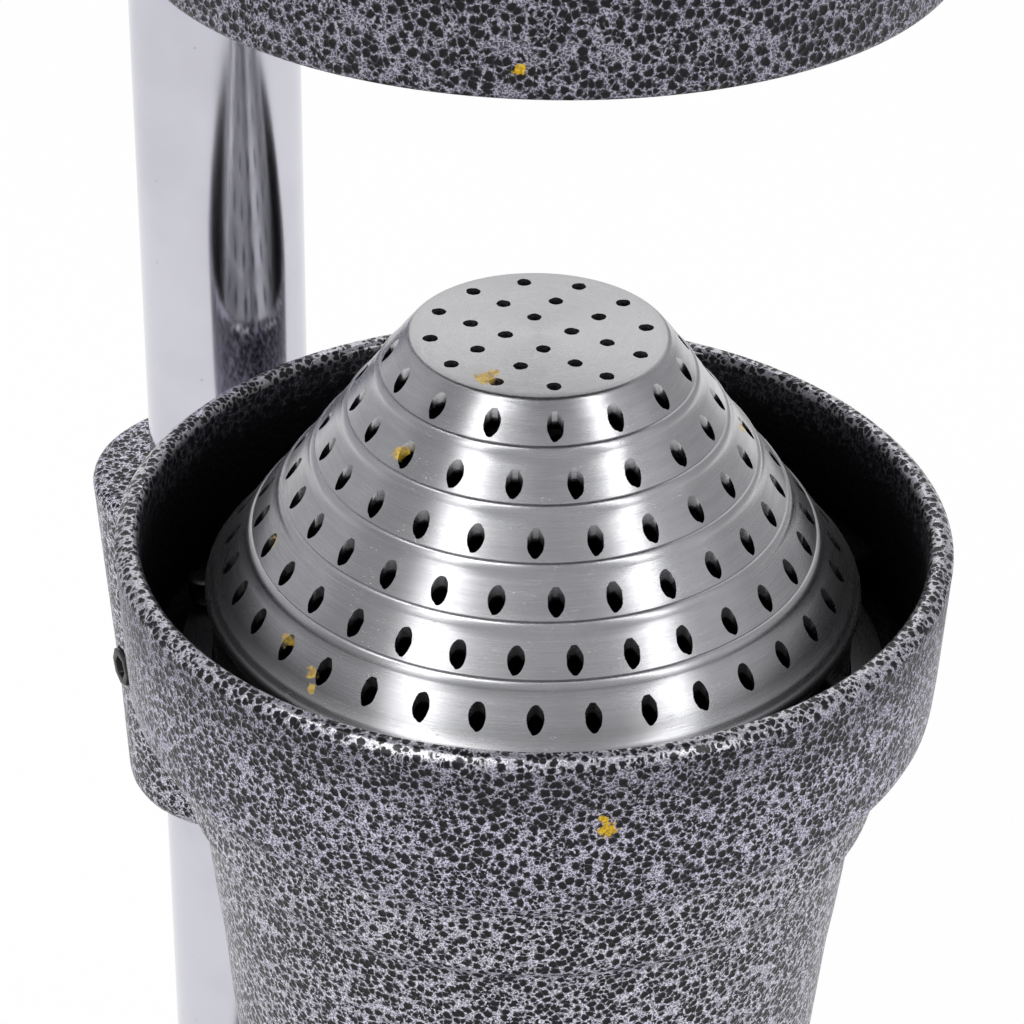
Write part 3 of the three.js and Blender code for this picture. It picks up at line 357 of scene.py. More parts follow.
@dataclass(frozen=True)
class HammertoneEnamel:
    """Stove enamel: dark rounded cells within a silver network of lace and threads.

    Lengths in cells are marked so; the others are millimetres. Steps are the values at which something starts
    and is full.
    """

    name: str = "hammertone_enamel"
    cell: float = 1.45
    dark: Colour = (0.0060, 0.0056, 0.0074)
    mid: Colour = (0.048, 0.046, 0.053)
    light: Colour = (0.132, 0.125, 0.156)
    thread: Colour = (0.73, 0.70, 0.84)
    pulp: tuple[Spot, ...] = ()
    # Pushes on the cells, in cells: how close the push changes and how far it goes
    wide_push: Point = (0.9, 0.5)
    fine_push: Point = (3.2, 0.30)
    # Noises: drift over the piece, and in cells the fuzz and the mixture of small and large cells
    drift: Grain = (0.07, 2.0, 0.6)
    fuzz: Grain = (3.4, 3.0, 0.75)
    mixture: Grain = (0.42, 1.0, 0.5)
    small_cells: float = 1.6
    small_shift: Place = (31.0, 17.0, 5.0)
    small_step: Step = (0.54, 0.62)
    # A cell's shape: its walls and its middle
    wall_reach: float = 0.60
    wall_fall: float = 2.6
    wall_share: float = 0.60
    middle: float = 0.315
    middle_share: float = 1.45
    # Height to tone
    fuzz_share: float = 0.80
    drift_share: float = 0.34
    mid_step: Step = (0.16, 0.50)
    network_step: Step = (0.40, 0.62)
    lace_cells: float = 2.7
    lace_fuzz: float = 0.50
    lace_step: Step = (0.17, 0.0)
    lace_height: Step = (0.3, 0.8)
    lace_least: float = 0.6
    # Gloss and relief
    metallic: float = 0.30
    roughness: float = 0.26
    network_roughness: float = 0.16
    specular: float = 0.13
    coat: float = 0.02
    coat_roughness: float = 0.13
    coat_ior: float = 2.5
    bump: float = 0.20
    bump_strength: float = 0.6
    pulp_tint: Step = (0.35, 0.65)

    def material(self) -> bpy.types.Material:
        """Builds the enamel."""
        recipe = Recipe(bpy.data.materials.new(self.name))
        point = recipe.place()
        pushed = point
        for pace, reach in (self.wide_push, self.fine_push):
            pushed = recipe.warped(pushed, pace / self.cell, reach * self.cell)
        drift = recipe.noise(point, self.drift)
        fuzz = self._in_cells(recipe, point, self.fuzz)
        mixture = self._in_cells(recipe, point, self.mixture)
        large = self._blobs(recipe, pushed, 1 / self.cell)
        shifted = recipe.vector("ADD", pushed, self.small_shift)
        small = self._blobs(recipe, shifted, self.small_cells / self.cell)
        height = large + (small - large) * mixture.step(*self.small_step)
        height = height + (fuzz - 0.5) * self.fuzz_share + (drift - 0.5) * self.drift_share
        network = height.step(*self.network_step)
        lace = (recipe.cells(pushed, self.lace_cells / self.cell, "DISTANCE_TO_EDGE")
                - (fuzz - 0.5) * self.lace_fuzz)
        thread = lace.step(*self.lace_step) * (
            self.lace_least + height.step(*self.lace_height) * (1 - self.lace_least))
        colour = recipe.blend(height.step(*self.mid_step), self.dark, self.mid)
        colour = recipe.blend(network, colour, recipe.blend(thread, *self._network(recipe)))
        metal = network * self.metallic
        rough = self.roughness + network * self.network_roughness
        colour, metal, rough, coat = self._dressed(recipe, colour, network, metal, rough)
        if self.pulp:
            stain = recipe.stain(self.pulp)
            tint = fuzz.step(*self.pulp_tint)
            colour = recipe.blend(stain, colour, recipe.blend(tint, PULP, PULP_LIGHT))
            metal = metal * (1 - stain)
        return recipe.surface(
            Base_Color=colour,
            Metallic=metal,
            Roughness=rough,
            Normal=recipe.relief(height, self.bump, self.bump_strength),
            Specular_IOR_Level=self.specular,
            Coat_Weight=coat,
            Coat_Roughness=self.coat_roughness,
            Coat_IOR=self.coat_ior,
        )

    def _in_cells(self, recipe: Recipe, point: bpy.types.NodeSocket, grain: Grain) -> Signal:
        """Noise whose scale is given in cells."""
        return recipe.noise(point, (grain[0] / self.cell, *grain[1:]))

    def _blobs(self, recipe: Recipe, point: bpy.types.NodeSocket, scale: float) -> Signal:
        """Rounded cells.

        Args:
            recipe: the recipe that is being built.
            point: the point on the piece.
            scale: how many cells a millimetre has.

        Returns:
            Near 0 in a cell's middle and 1 along the lines where cells meet.
        """
        edge = recipe.cells(point, scale, "DISTANCE_TO_EDGE")
        centre = recipe.cells(point, scale)
        wall = (self.wall_reach - edge * self.wall_fall).largest(0.0) * self.wall_share
        return wall + (centre - self.middle) * self.middle_share

    def _network(self, recipe: Recipe) -> tuple[Input, Input]:
        """The network's two tones."""
        return self.light, self.thread

    def _dressed(self, recipe: Recipe, colour: bpy.types.NodeSocket, network: Signal, metal: Signal,
                 rough: Signal) -> tuple[bpy.types.NodeSocket, Signal, Signal, Input]:
        """What one piece's enamel has besides: nothing on most.

        Args:
            recipe: the recipe that is being built.
            colour: the colour so far.
            network: where the silver network lies.
            metal: how metallic the surface is so far.
            rough: its roughness so far.

        Returns:
            The colour, the metal, the roughness and the clear coat.
        """
        return colour, metal, rough, self.coat


@dataclass(frozen=True)
class CupEnamel(HammertoneEnamel):
    """The cup's enamel: painted shade down its inner wall, a glossy lip, painted bounce light on its bowl."""

    name: str = "cup_enamel"
    axis: float = -15.0
    mouth: float = 66.0
    lip: float = 271.6
    # Painted light: the network is lighter on the bowl, below the band, as if lit from the floor.
    bowl_painted_light_lace: Colour = (0.190, 0.182, 0.216)
    bowl_painted_light_thread: Colour = (0.84, 0.82, 0.92)
    bowl_step: Step = (-27.0, -34.0)
    # The inner wall: painted shade, dark, with a ragged border to the lip, down to the seat and on into the
    # narrower bowl
    shade_and_band_black: Colour = (0.003, 0.003, 0.004)
    patches: Grain = (0.55, 3.0, 0.7)
    seat_step: Step = (-30.4, -29.7)
    seat_depth: float = 29.6
    wall_inset: float = 7.2
    wall_past: float = 0.3
    bowl_slope: float = 0.13
    ragged: float = 0.5
    border: Step = (-0.35, 0.25)
    floor_step: Step = (-101.0, -96.0)
    mouth_step: Step = (-9.0, -1.0)
    mouth_ragged: float = 14.0
    mouth_share: float = 0.14
    black_roughness: float = 0.3
    # The top of the band, outside
    upper_step: Step = (-16.0, -4.0)
    upper_share: float = 0.34
    upper_at_lip: float = 0.6
    # The lip, whose network is painted lighter as a highlight
    lip_step: Step = (-1.9, -0.7)
    lip_highlight_colour: Colour = (0.82, 0.82, 0.86)
    lip_highlight_share: float = 0.22
    lip_metal: float = 0.45
    lip_polish: float = 0.18
    lip_coat: Point = (0.08, 0.72)

    def _network(self, recipe: Recipe) -> tuple[Input, Input]:
        """The network's two tones, lighter on the bowl below the band as painted bounce light from the floor.

        Args:
            recipe: the recipe that is being built.

        Returns:
            The tone of its lace and the tone of its threads.
        """
        _, _, z = recipe.split(recipe.place((0.0, 0.0, self.lip)))
        bowl = z.step(*self.bowl_step)
        return (recipe.blend(bowl, self.light, self.bowl_painted_light_lace),
                recipe.blend(bowl, self.thread, self.bowl_painted_light_thread))

    def _dressed(self, recipe: Recipe, colour: bpy.types.NodeSocket, network: Signal, metal: Signal,
                 rough: Signal) -> tuple[bpy.types.NodeSocket, Signal, Signal, Input]:
        """Painted shade on the inner wall, the darker top of the band, and the glossy lip with a painted
        highlight.

        Args:
            recipe: the recipe that is being built.
            colour: the colour so far.
            network: where the silver network lies.
            metal: how metallic the surface is so far.
            rough: its roughness so far.

        Returns:
            The colour, the metal, the roughness and the clear coat.
        """
        shade, lip = self._shade_band_and_lip(recipe)
        # Painted shade: the inner wall, and also the darker top of the band, blend towards a dark colour.
        colour = recipe.blend(shade, colour, self.shade_and_band_black)
        # Painted highlight: the lip's network is blended towards a pale colour.
        colour = recipe.blend(lip * network * self.lip_highlight_share, colour, self.lip_highlight_colour)
        metal = metal + network * lip * self.lip_metal
        rough = rough - lip * network * self.lip_polish + shade * self.black_roughness
        least, more = self.lip_coat
        return colour, metal, rough, self.coat + lip * (least + network * more)

    def _shade_band_and_lip(self, recipe: Recipe) -> tuple[Signal, Signal]:
        """Where shade is painted on the enamel, where the band's top is darker, and where it is glossy.

        Args:
            recipe: the recipe that is being built.

        Returns:
            The painted shade's share, full down the inner wall, with the darker top of the band; and the lip.
        """
        x, y, z = recipe.split(recipe.place((0.0, self.axis, self.lip)))
        reach = recipe.length(recipe.joined(x, y, 0.0))
        patch = recipe.noise(recipe.place(), self.patches)
        wall = (z.step(*self.seat_step, self.mouth - self.wall_inset, self.mouth + self.wall_past)
                + (z + self.seat_depth).smallest(0.0) * self.bowl_slope)
        within = ((wall - reach + (patch - 0.5) * self.ragged).step(*self.border)
                  * z.step(*self.floor_step))
        # The painted shade eases off towards the mouth.
        shade_ease_at_mouth = 1.0 - (z + (patch - 0.5) * self.mouth_ragged).step(*self.mouth_step) * self.mouth_share
        lip = z.step(*self.lip_step)
        upper = z.step(*self.upper_step) * (1.0 - lip * self.upper_at_lip) * self.upper_share
        return (within * shade_ease_at_mouth).largest(upper), lip


@dataclass(frozen=True)
class PlatedSteel:
    """Bright plating with faint rub marks along and around a bar, and a few dull specks."""

    name: str = "bright_plating"
    colour: Colour = (0.62, 0.615, 0.68)
    cloudy: Colour = (0.56, 0.555, 0.62)
    speck: Colour = (0.20, 0.19, 0.18)
    rub_scale: Place = (1800, 1800, 22)
    rub: Grain = (1.0, 3.0, 0.6)
    cloud: Grain = (0.035, 3.0, 0.6)
    cloud_step: Step = (0.35, 0.75)
    speck_scale: float = 0.16
    speck_step: Step = (0.0, 0.07)
    speck_share: float = 0.35
    roughness: float = 0.07
    cloud_roughness: float = 0.09
    rub_roughness: float = 0.05
    speck_roughness: float = 0.2
    bump: float = 0.006
    bump_strength: float = 0.25

    def material(self) -> bpy.types.Material:
        """Builds the plating."""
        recipe = Recipe(bpy.data.materials.new(self.name))
        point = recipe.place()
        rub = recipe.noise(recipe.place(scale=self.rub_scale), self.rub)
        cloud = recipe.noise(point, self.cloud)
        specks = recipe.cells(point, self.speck_scale).step(*self.speck_step, 1.0, 0.0)
        colour = recipe.blend(cloud.step(*self.cloud_step), self.colour, self.cloudy)
        colour = recipe.blend(specks * self.speck_share, colour, self.speck)
        return recipe.surface(
            Base_Color=colour,
            Metallic=1.0,
            Roughness=(self.roughness + cloud * self.cloud_roughness + rub * self.rub_roughness
                       + specks * self.speck_roughness),
            Normal=recipe.relief(rub, self.bump, self.bump_strength),
        )


@dataclass(frozen=True)
class TurnedMetal:
    """Metal with fine tool marks around an axis.

    The marks run round the Z axis through the centre, or round the X axis where across is set. A mark's round
    is how many noise steps it has for one radian of the turn.
    """

    name: str
    colour: Colour
    dark: Colour
    roughness: float = 0.3
    spread: float = 0.5
    centre: Place = (0.0, -15.0, 0.0)
    across: bool = False
    pitch: float = 0.22
    bump: float = 0.004
    bump_strength: float = 0.6
    fine_round: float = 6.0
    fine: Grain = (1.0, 4.0, 0.72)
    coarse_round: float = 2.4
    coarse_pitch: float = 0.22
    coarse: Grain = (1.0, 2.0, 0.5)
    grain: Grain = (5.0, 2.0, 0.7)
    cloud: Grain = (0.10, 3.0, 0.6)
    tone_shares: Place = (0.55, 0.30, 0.35)
    tone_step: Step = (0.35, 0.95)
    height_shares: Place = (0.7, 0.2, 0.25)
    least_radius: float = 0.5
    polish: float = 0.08
    fine_roughness: float = 0.15
    cloud_roughness: float = 0.08
    spread_turn: float = 0.25

    def material(self) -> bpy.types.Material:
        """Builds the turned metal."""
        recipe = Recipe(bpy.data.materials.new(self.name))
        point = recipe.place(self.centre)
        x, y, z = recipe.split(point)
        if self.across:
            x, y, z = y, z, x
        radius = recipe.length(recipe.joined(x, y, 0.0))
        inverse = 1.0 / radius.largest(self.least_radius)
        along = z - radius

        def marks(around: float, pitch: float, grain: Grain) -> Signal:
            """Noise drawn out along the turn."""
            ring = recipe.joined(x * inverse * around, y * inverse * around, along * pitch)
            return recipe.noise(ring, grain)

        fine = marks(self.fine_round, 1 / self.pitch, self.fine)
        coarse = marks(self.coarse_round, self.coarse_pitch / self.pitch, self.coarse)
        grain = recipe.noise(point, self.grain)
        cloud = recipe.noise(point, self.cloud)
        by_fine, by_coarse, by_cloud = self.tone_shares
        tone = fine * by_fine + coarse * by_coarse + cloud * by_cloud
        colour = recipe.blend(tone.step(*self.tone_step), self.colour, self.dark)
        by_fine, by_coarse, by_grain = self.height_shares
        height = fine * by_fine + coarse * by_coarse + grain * by_grain
        colour, height, metal = self._worn_and_shaded(recipe, colour, height)
        return recipe.surface(
            Base_Color=colour,
            Metallic=metal,
            Roughness=(self.roughness - self.polish + fine * self.fine_roughness
                       + cloud * self.cloud_roughness),
            Anisotropic=self.spread,
            Anisotropic_Rotation=self.spread_turn,
            Normal=recipe.relief(height, self.bump, self.bump_strength),
        )

    def _worn_and_shaded(self, recipe: Recipe, colour: bpy.types.NodeSocket,
              height: Signal) -> tuple[bpy.types.NodeSocket, Signal, Input]:
        """Wear, dirt and painted shade: none on plain turned metal.

        Args:
            recipe: the recipe that is being built.
            colour: the colour so far.
            height: the relief so far.

        Returns:
            The colour, the relief and how metallic the surface is.
        """
        return colour, height, 1.0


@dataclass(frozen=True)
class StrainerMetal(TurnedMetal):
    """Turned aluminium with dings and pulp on it, and painted shade within its cone, down its holes and down
    in the cup.
    """

    top: float = 306.65
    top_radius: float = 21.4
    slope: float = 0.7232
    foot: float = 259.5
    foot_blend: float = 3.0
    pulp: tuple[Spot, ...] = ()
    # Painted shade beneath the outer surface, down the holes and within the cone: two steps of depth, and how
    # much each darkens
    shallow: Step = (0.1, 1.2)
    shallow_share: float = 0.35
    deep: Step = (1.15, 1.55)
    deep_share: float = 0.62
    depth_shade_colour: Colour = (0.012, 0.012, 0.013)
    # Painted shade below the foot, in the narrow gap down in the cup
    gap_shade_colour: Colour = (0.03, 0.03, 0.032)
    sunk_share: float = 0.86
    # The flat top, with a grain instead of marks
    flat_step: Step = (-0.30, -0.10)
    flat_colour: Colour = (0.42, 0.42, 0.43)
    sand: Grain = (3.2, 3.0, 0.75)
    sand_shares: Point = (0.55, 0.7)
    sand_height: float = 1.6
    # Dings, in patches
    ding_scale: float = 1.9
    ding_step: Step = (0.22, 0.08)
    ding_patches: Grain = (0.22, 2.0, 0.6)
    ding_patch_step: Step = (0.50, 0.62)
    ding_height: float = 1.8
    pulp_tint: Grain = (1.4, 2.0, 0.6)
    pulp_tint_step: Step = (0.35, 0.65)
    pulp_share: float = 0.85
    pulp_dullness: float = 0.9

    def _worn_and_shaded(self, recipe: Recipe, colour: bpy.types.NodeSocket,
              height: Signal) -> tuple[bpy.types.NodeSocket, Signal, Input]:
        """Painted shade within the cone, down its holes and below its foot; dings; and pulp.

        Args:
            recipe: the recipe that is being built.
            colour: the colour so far.
            height: the relief so far.

        Returns:
            The colour, the relief and how metallic the surface is.
        """
        point = recipe.place(self.centre)
        x, y, z = recipe.split(point)
        radius = recipe.length(recipe.joined(x, y, 0.0))
        below = self.top - z
        depth = (below * self.slope + self.top_radius - radius).smallest(below)
        sunk = z.step(self.foot, self.foot - self.foot_blend)
        within = (depth.step(*self.shallow) * self.shallow_share
                  + depth.step(*self.deep) * self.deep_share) * (1 - sunk)
        flat = z.step(*(self.top + edge for edge in self.flat_step))
        sand = recipe.noise(point, self.sand)
        least, more = self.sand_shares
        # Painted shade: dark deep in the holes and within the cone, and below the foot.
        colour = recipe.blend(within, colour, self.depth_shade_colour)
        colour = recipe.blend(flat * (least + sand * more), colour, self.flat_colour)
        colour = recipe.blend(sunk * self.sunk_share, colour, self.gap_shade_colour)
        dings = (recipe.cells(point, self.ding_scale).step(*self.ding_step)
                 * recipe.noise(point, self.ding_patches).step(*self.ding_patch_step))
        stain = recipe.stain(self.pulp)
        tint = recipe.noise(point, self.pulp_tint).step(*self.pulp_tint_step)
        colour = recipe.blend(stain * self.pulp_share, colour, recipe.blend(tint, PULP, PULP_LIGHT))
        height = height + dings * self.ding_height + flat * sand * self.sand_height
        return colour, height, 1 - stain * self.pulp_dullness


@dataclass(frozen=True)
class PlainMetal:
    """Milled, blackened or bronze metal with short marks in all directions."""

    name: str
    colour: Colour
    dark: Colour
    roughness: float = 0.35
    streak_scale: Place = (2600, 700, 5200)
    streak: Grain = (1.0, 3.0, 0.65)
    cloud: Grain = (0.13, 3.0, 0.6)
    tone_step: Step = (0.3, 0.75)
    streak_roughness: float = 0.12
    cloud_roughness: float = 0.1
    bump: float = 0.006
    bump_strength: float = 0.5

    def material(self) -> bpy.types.Material:
        """Builds the metal."""
        recipe = Recipe(bpy.data.materials.new(self.name))
        point = recipe.place()
        streaks = recipe.noise(recipe.place(scale=self.streak_scale), self.streak)
        cloud = recipe.noise(point, self.cloud)
        tone = streaks * 0.5 + cloud * 0.5
        colour = recipe.blend(tone.step(*self.tone_step), self.colour, self.dark)
        return recipe.surface(
            Base_Color=colour,
            Metallic=1.0,
            Roughness=(self.roughness + (streaks - 0.5) * self.streak_roughness
                       + (cloud - 0.5) * self.cloud_roughness),
            Normal=recipe.relief(streaks, self.bump, self.bump_strength),
        )


@dataclass(frozen=True)
class MouldedGrip:
    """Black plastic or rubber with a fine grain."""

    name: str
    colour: Colour
    worn: Colour
    roughness: float = 0.55
    grain: float = 0.9
    cloud: Grain = (0.07, 3.0, 0.6)
    worn_step: Step = (0.42, 0.8)
    cloud_roughness: float = 0.14
    bump: float = 0.05
    bump_strength: float = 0.35

    def material(self) -> bpy.types.Material:
        """Builds the moulded finish."""
        recipe = Recipe(bpy.data.materials.new(self.name))
        point = recipe.place()
        grain = recipe.cells(point, 1 / self.grain)
        cloud = recipe.noise(point, self.cloud)
        return recipe.surface(
            Base_Color=recipe.blend(cloud.step(*self.worn_step), self.colour, self.worn),
            Roughness=self.roughness + (cloud - 0.5) * self.cloud_roughness,
            Normal=recipe.relief(grain, self.bump, self.bump_strength),
        )


Finish = Union[HammertoneEnamel, PlatedSteel, TurnedMetal, PlainMetal, MouldedGrip]
Dressing = tuple[str, Finish, Slot, float]


class Finishes:
    """Builds each finish once and hands it out by name."""

    def __init__(self) -> None:
        """Starts with no finish built."""
        self.built: dict[str, bpy.types.Material] = {}

    def get(self, finish: Finish) -> bpy.types.Material:
        """The material of a finish, built on its first use.

        Args:
            finish: the finish.

        Returns:
            Its material.
        """
        if finish.name not in self.built:
            self.built[finish.name] = finish.material()
        return self.built[finish.name]


PULP = (0.40, 0.23, 0.010)
PULP_LIGHT = (0.80, 0.53, 0.03)
ENAMEL = HammertoneEnamel()
# Painted shade: a copy of the enamel with a darker lace and darker threads, for the bell.
SHADED_BELL_ENAMEL = HammertoneEnamel("shaded_bell_enamel", light=(0.084, 0.080, 0.102), thread=(0.45, 0.435, 0.52),
                               pulp=((-42.8, -61.1, 380.7, 0.9),))
CUP_ENAMEL = CupEnamel(pulp=((-34.3, -75.3, 258.6, 1.6), (-35.0, -75.0, 260.8, 0.8)))
PLATING = PlatedSteel()
STRAINER_METAL = StrainerMetal(
    "turned_aluminium", (0.63, 0.63, 0.645), (0.44, 0.44, 0.455), roughness=0.25, spread=0.6, pitch=0.34,
    bump=0.018, pulp=(
        (-16.1, -21.4, 306.6, 1.9), (-13.9, -21.0, 306.6, 1.2), (-29.0, -16.7, 295.0, 1.5),
        (-41.2, 1.6, 273.6, 1.3), (-49.9, -14.1, 266.8, 1.4), (-50.8, -21.9, 265.3, 1.2),
        (-51.8, -23.4, 263.4, 0.9), (26.1, -36.3, 289.6, 1.1)))
TURNED_STEEL = TurnedMetal("turned_steel", (0.62, 0.62, 0.64), (0.42, 0.42, 0.44), roughness=0.24, spread=0.4,
                           pitch=0.3)
SHAFT_STEEL = TurnedMetal("turned_shaft_steel", (0.62, 0.62, 0.64), (0.42, 0.42, 0.44), roughness=0.26,
                          spread=0.0, centre=(0.0, 47.5, 520.343), across=True, pitch=0.3)
MILLED_STEEL = PlainMetal("milled_steel", (0.60, 0.60, 0.62), (0.40, 0.40, 0.42))
BLACK_OXIDE = PlainMetal("black_oxide", (0.035, 0.035, 0.038), (0.075, 0.073, 0.072), roughness=0.42)
BRONZE = PlainMetal("bearing_bronze", (0.62, 0.43, 0.20), (0.42, 0.28, 0.13), roughness=0.33)
RUBBER = MouldedGrip("foot_rubber", (0.022, 0.022, 0.023), (0.045, 0.044, 0.043), roughness=0.72, grain=0.6)
GRIP = MouldedGrip("grip_moulding", (0.020, 0.020, 0.022), (0.040, 0.040, 0.042))


class Bench:
    """The modelling bench: each method is a few steps as done by hand on a mesh."""

    # How near corners are taken as one, in metres: on a drawn line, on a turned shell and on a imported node
    LINE_GAP = 1e-7
    TURNED_GAP = 2e-7
    PACKED_GAP = 2e-6
    FLAT_ANGLE = math.radians(0.5)
    # How upright a direction is, from 0 to 1, to be taken as upright
    UPRIGHT = 0.9
    # The angle in degrees past which the edges of a small raised part are rounded
    RAISED_ANGLE = 50.0

    @staticmethod
    def deselect() -> None:
        """Leaves edit mode and selects nothing."""
        if bpy.context.object and bpy.context.object.mode != "OBJECT":
            bpy.ops.object.mode_set(mode="OBJECT")
        for found in bpy.context.selected_objects:
            found.select_set(False)

    @classmethod
    def take(cls, piece: bpy.types.Object) -> None:
        """Selects one piece alone and makes it active.

        Args:
            piece: the piece.
        """
        cls.deselect()
        piece.select_set(True)
        bpy.context.view_layer.objects.active = piece

    @classmethod
    def edit(cls, piece: bpy.types.Object) -> None:
        """Opens a piece in edit mode with everything selected.

        Args:
            piece: the piece.
        """
        cls.take(piece)
        bpy.ops.object.mode_set(mode="EDIT")
        bpy.ops.mesh.select_mode(type="VERT")
        bpy.ops.mesh.select_all(action="SELECT")

    @staticmethod
    def close() -> None:
        """Back to object mode."""
        bpy.ops.object.mode_set(mode="OBJECT")

    @staticmethod
    def select_faces(piece: bpy.types.Object, wanted: Callable[[bmesh.types.BMFace], bool]) -> None:
        """In edit mode, selects the faces that a test wants, and no others.

        Args:
            piece: the piece, in edit mode.
            wanted: the test.
        """
        mesh = bmesh.from_edit_mesh(piece.data)
        for face in mesh.faces:
            face.select_set(False)
        for face in mesh.faces:
            if wanted(face):
                face.select_set(True)
        mesh.select_flush_mode()
        bmesh.update_edit_mesh(piece.data)

    @staticmethod
    def select_edges(piece: bpy.types.Object, wanted: Callable[[bmesh.types.BMEdge], bool]) -> None:
        """In edit mode, selects the edges that a test wants, and no others.

        Args:
            piece: the piece, in edit mode.
            wanted: the test.
        """
        bpy.ops.mesh.select_mode(type="EDGE")
        mesh = bmesh.from_edit_mesh(piece.data)
        for edge in mesh.edges:
            edge.select_set(False)
        for edge in mesh.edges:
            if wanted(edge):
                edge.select_set(True)
        mesh.select_flush_mode()
        bmesh.update_edit_mesh(piece.data)

    @staticmethod
    def select_verts(piece: bpy.types.Object, wanted: Callable[[bmesh.types.BMVert], bool]) -> None:
        """In edit mode, selects the corners that a test wants, and no others.

        Args:
            piece: the piece, in edit mode.
            wanted: the test.
        """
        bpy.ops.mesh.select_mode(type="VERT")
        mesh = bmesh.from_edit_mesh(piece.data)
        for vertex in mesh.verts:
            vertex.select_set(wanted(vertex))
        mesh.select_flush_mode()
        bmesh.update_edit_mesh(piece.data)

    @classmethod
    def outline(cls, points: Sequence[Sequence[float]]) -> bpy.types.Object:
        """Draws a closed line by extruding one corner after the other.

        Args:
            points: the corners, in millimetres.

        Returns:
            The piece, in edit mode.
        """
        first = Vector(points[0]) * MM
        cls.deselect()
        bpy.ops.mesh.primitive_plane_add(size=MM, location=first)
        piece = bpy.context.object
        cls.edit(piece)
        bpy.ops.mesh.merge(type="CENTER")
        place = first
        for corner in [*points[1:], points[0]]:
            target = Vector(corner) * MM
            bpy.ops.mesh.extrude_region_move(TRANSFORM_OT_translate={"value": tuple(target - place)})
            place = target
        bpy.ops.mesh.select_all(action="SELECT")
        bpy.ops.mesh.remove_doubles(threshold=cls.LINE_GAP)
        return piece

    @classmethod
    def turned(cls, profile: Sequence[Point], segments: int, centre: Point = (0.0, 0.0),
               lift: float = 0.0) -> bpy.types.Object:
        """Turns a closed profile about an upright axis.

        Args:
            profile: points of radius and height, in millimetres.
            segments: how many steps the turn has.
            centre: where the axis stands.
            lift: what is added to each height.

        Returns:
            The piece.
        """
        piece = cls.outline([(centre[0] + radius, centre[1], lift + height) for radius, height in profile])
        bpy.ops.mesh.select_all(action="SELECT")
        bpy.ops.mesh.spin(steps=segments, angle=FULL_TURN, axis=(0, 0, 1),
                          center=(centre[0] * MM, centre[1] * MM, 0))
        bpy.ops.mesh.select_all(action="SELECT")
        bpy.ops.mesh.remove_doubles(threshold=cls.TURNED_GAP)
        bpy.ops.mesh.normals_make_consistent(inside=False)
        cls.close()
        return cls.settle(piece)

    @classmethod
    def raised(cls, points: Sequence[Sequence[float]], push: Sequence[float],
               rounding: float = 0.0) -> bpy.types.Object:
        """A plate of a closed outline, pushed out by a vector, its edges rounded.

        Args:
            points: the outline's corners in millimetres.
            push: how far the outline is extruded.
            rounding: the radius of its edges.

        Returns:
            The piece.
        """
        piece = cls.outline(points)
        bpy.ops.mesh.select_all(action="SELECT")
        bpy.ops.mesh.edge_face_add()
        bpy.ops.mesh.extrude_region_move(TRANSFORM_OT_translate={"value": tuple(Vector(push) * MM)})
        bpy.ops.mesh.select_all(action="SELECT")
        bpy.ops.mesh.normals_make_consistent(inside=False)
        cls.close()
        cls.settle(piece)
        return cls.round_edges(piece, rounding, sharper_than=cls.RAISED_ANGLE) if rounding else piece

    @classmethod
    def bar(cls, radius: float, low: float, high: float, centre: Point = (0.0, 0.0),
            sides: int = 48) -> bpy.types.Object:
        """An upright round bar, as a tool.

        Args:
            radius: the bar's radius.
            low: the height of its lower end.
            high: the height of its upper end.
            centre: where it stands.
            sides: how many sides it has.

        Returns:
            The tool.
        """
        cls.deselect()
        bpy.ops.mesh.primitive_cylinder_add(
            vertices=sides, radius=radius * MM, depth=(high - low) * MM,
            location=(centre[0] * MM, centre[1] * MM, (low + high) / 2 * MM))
        return cls.settle(bpy.context.object)

    @classmethod
    def slab(cls, low: Sequence[float], high: Sequence[float], rounding: float = 0.0,
             steps: int = 2) -> bpy.types.Object:
        """A block between two corners, with its edges rounded.

        Args:
            low: its lowest corner.
            high: its highest corner.
            rounding: the radius of its edges.
            steps: how many faces a rounded edge has.

        Returns:
            The piece.
        """
        size = [b - a for a, b in zip(low, high)]
        middle = [(a + b) / 2 * MM for a, b in zip(low, high)]
        cls.deselect()
        bpy.ops.mesh.primitive_cube_add(size=1, location=middle)
        piece = bpy.context.object
        piece.scale = [s * MM for s in size]
        cls.settle(piece)
        if rounding:
            cls.edit(piece)
            bpy.ops.mesh.bevel(offset=rounding * MM, segments=steps, affect="EDGES")
            cls.close()
        return piece

    @classmethod
    def settle(cls, piece: bpy.types.Object, move: Sequence[float] = (0, 0, 0),
               turn: Sequence[float] = (0, 0, 0)) -> bpy.types.Object:
        """Turns and moves a piece, and puts its place into its mesh.

        Args:
            piece: the piece.
            move: how far it moves, in millimetres.
            turn: its turn about X, Y and Z through the origin, in radians.

        Returns:
            The piece.
        """
        cls.take(piece)
        if any(turn):
            bpy.ops.object.transform_apply(location=True, rotation=True, scale=True)
            piece.rotation_euler = turn
            bpy.ops.object.transform_apply(location=False, rotation=True, scale=False)
        piece.location = piece.location + Vector(move) * MM
        bpy.ops.object.transform_apply(location=True, rotation=True, scale=True)
        return piece

    @classmethod
    def copy(cls, piece: bpy.types.Object) -> bpy.types.Object:
        """Copies a piece.

        Args:
            piece: the piece.

        Returns:
            A copy with its own mesh.
        """
        cls.take(piece)
        bpy.ops.object.duplicate(linked=False)
        return bpy.context.object

    @classmethod
    def joined(cls, pieces: Sequence[bpy.types.Object]) -> bpy.types.Object:
        """Joins pieces that don't touch.

        Args:
            pieces: the pieces.

        Returns:
            All of them as one object.
        """
        cls.take(pieces[0])
        for piece in pieces:
            piece.select_set(True)
        bpy.ops.object.join()
        return bpy.context.object

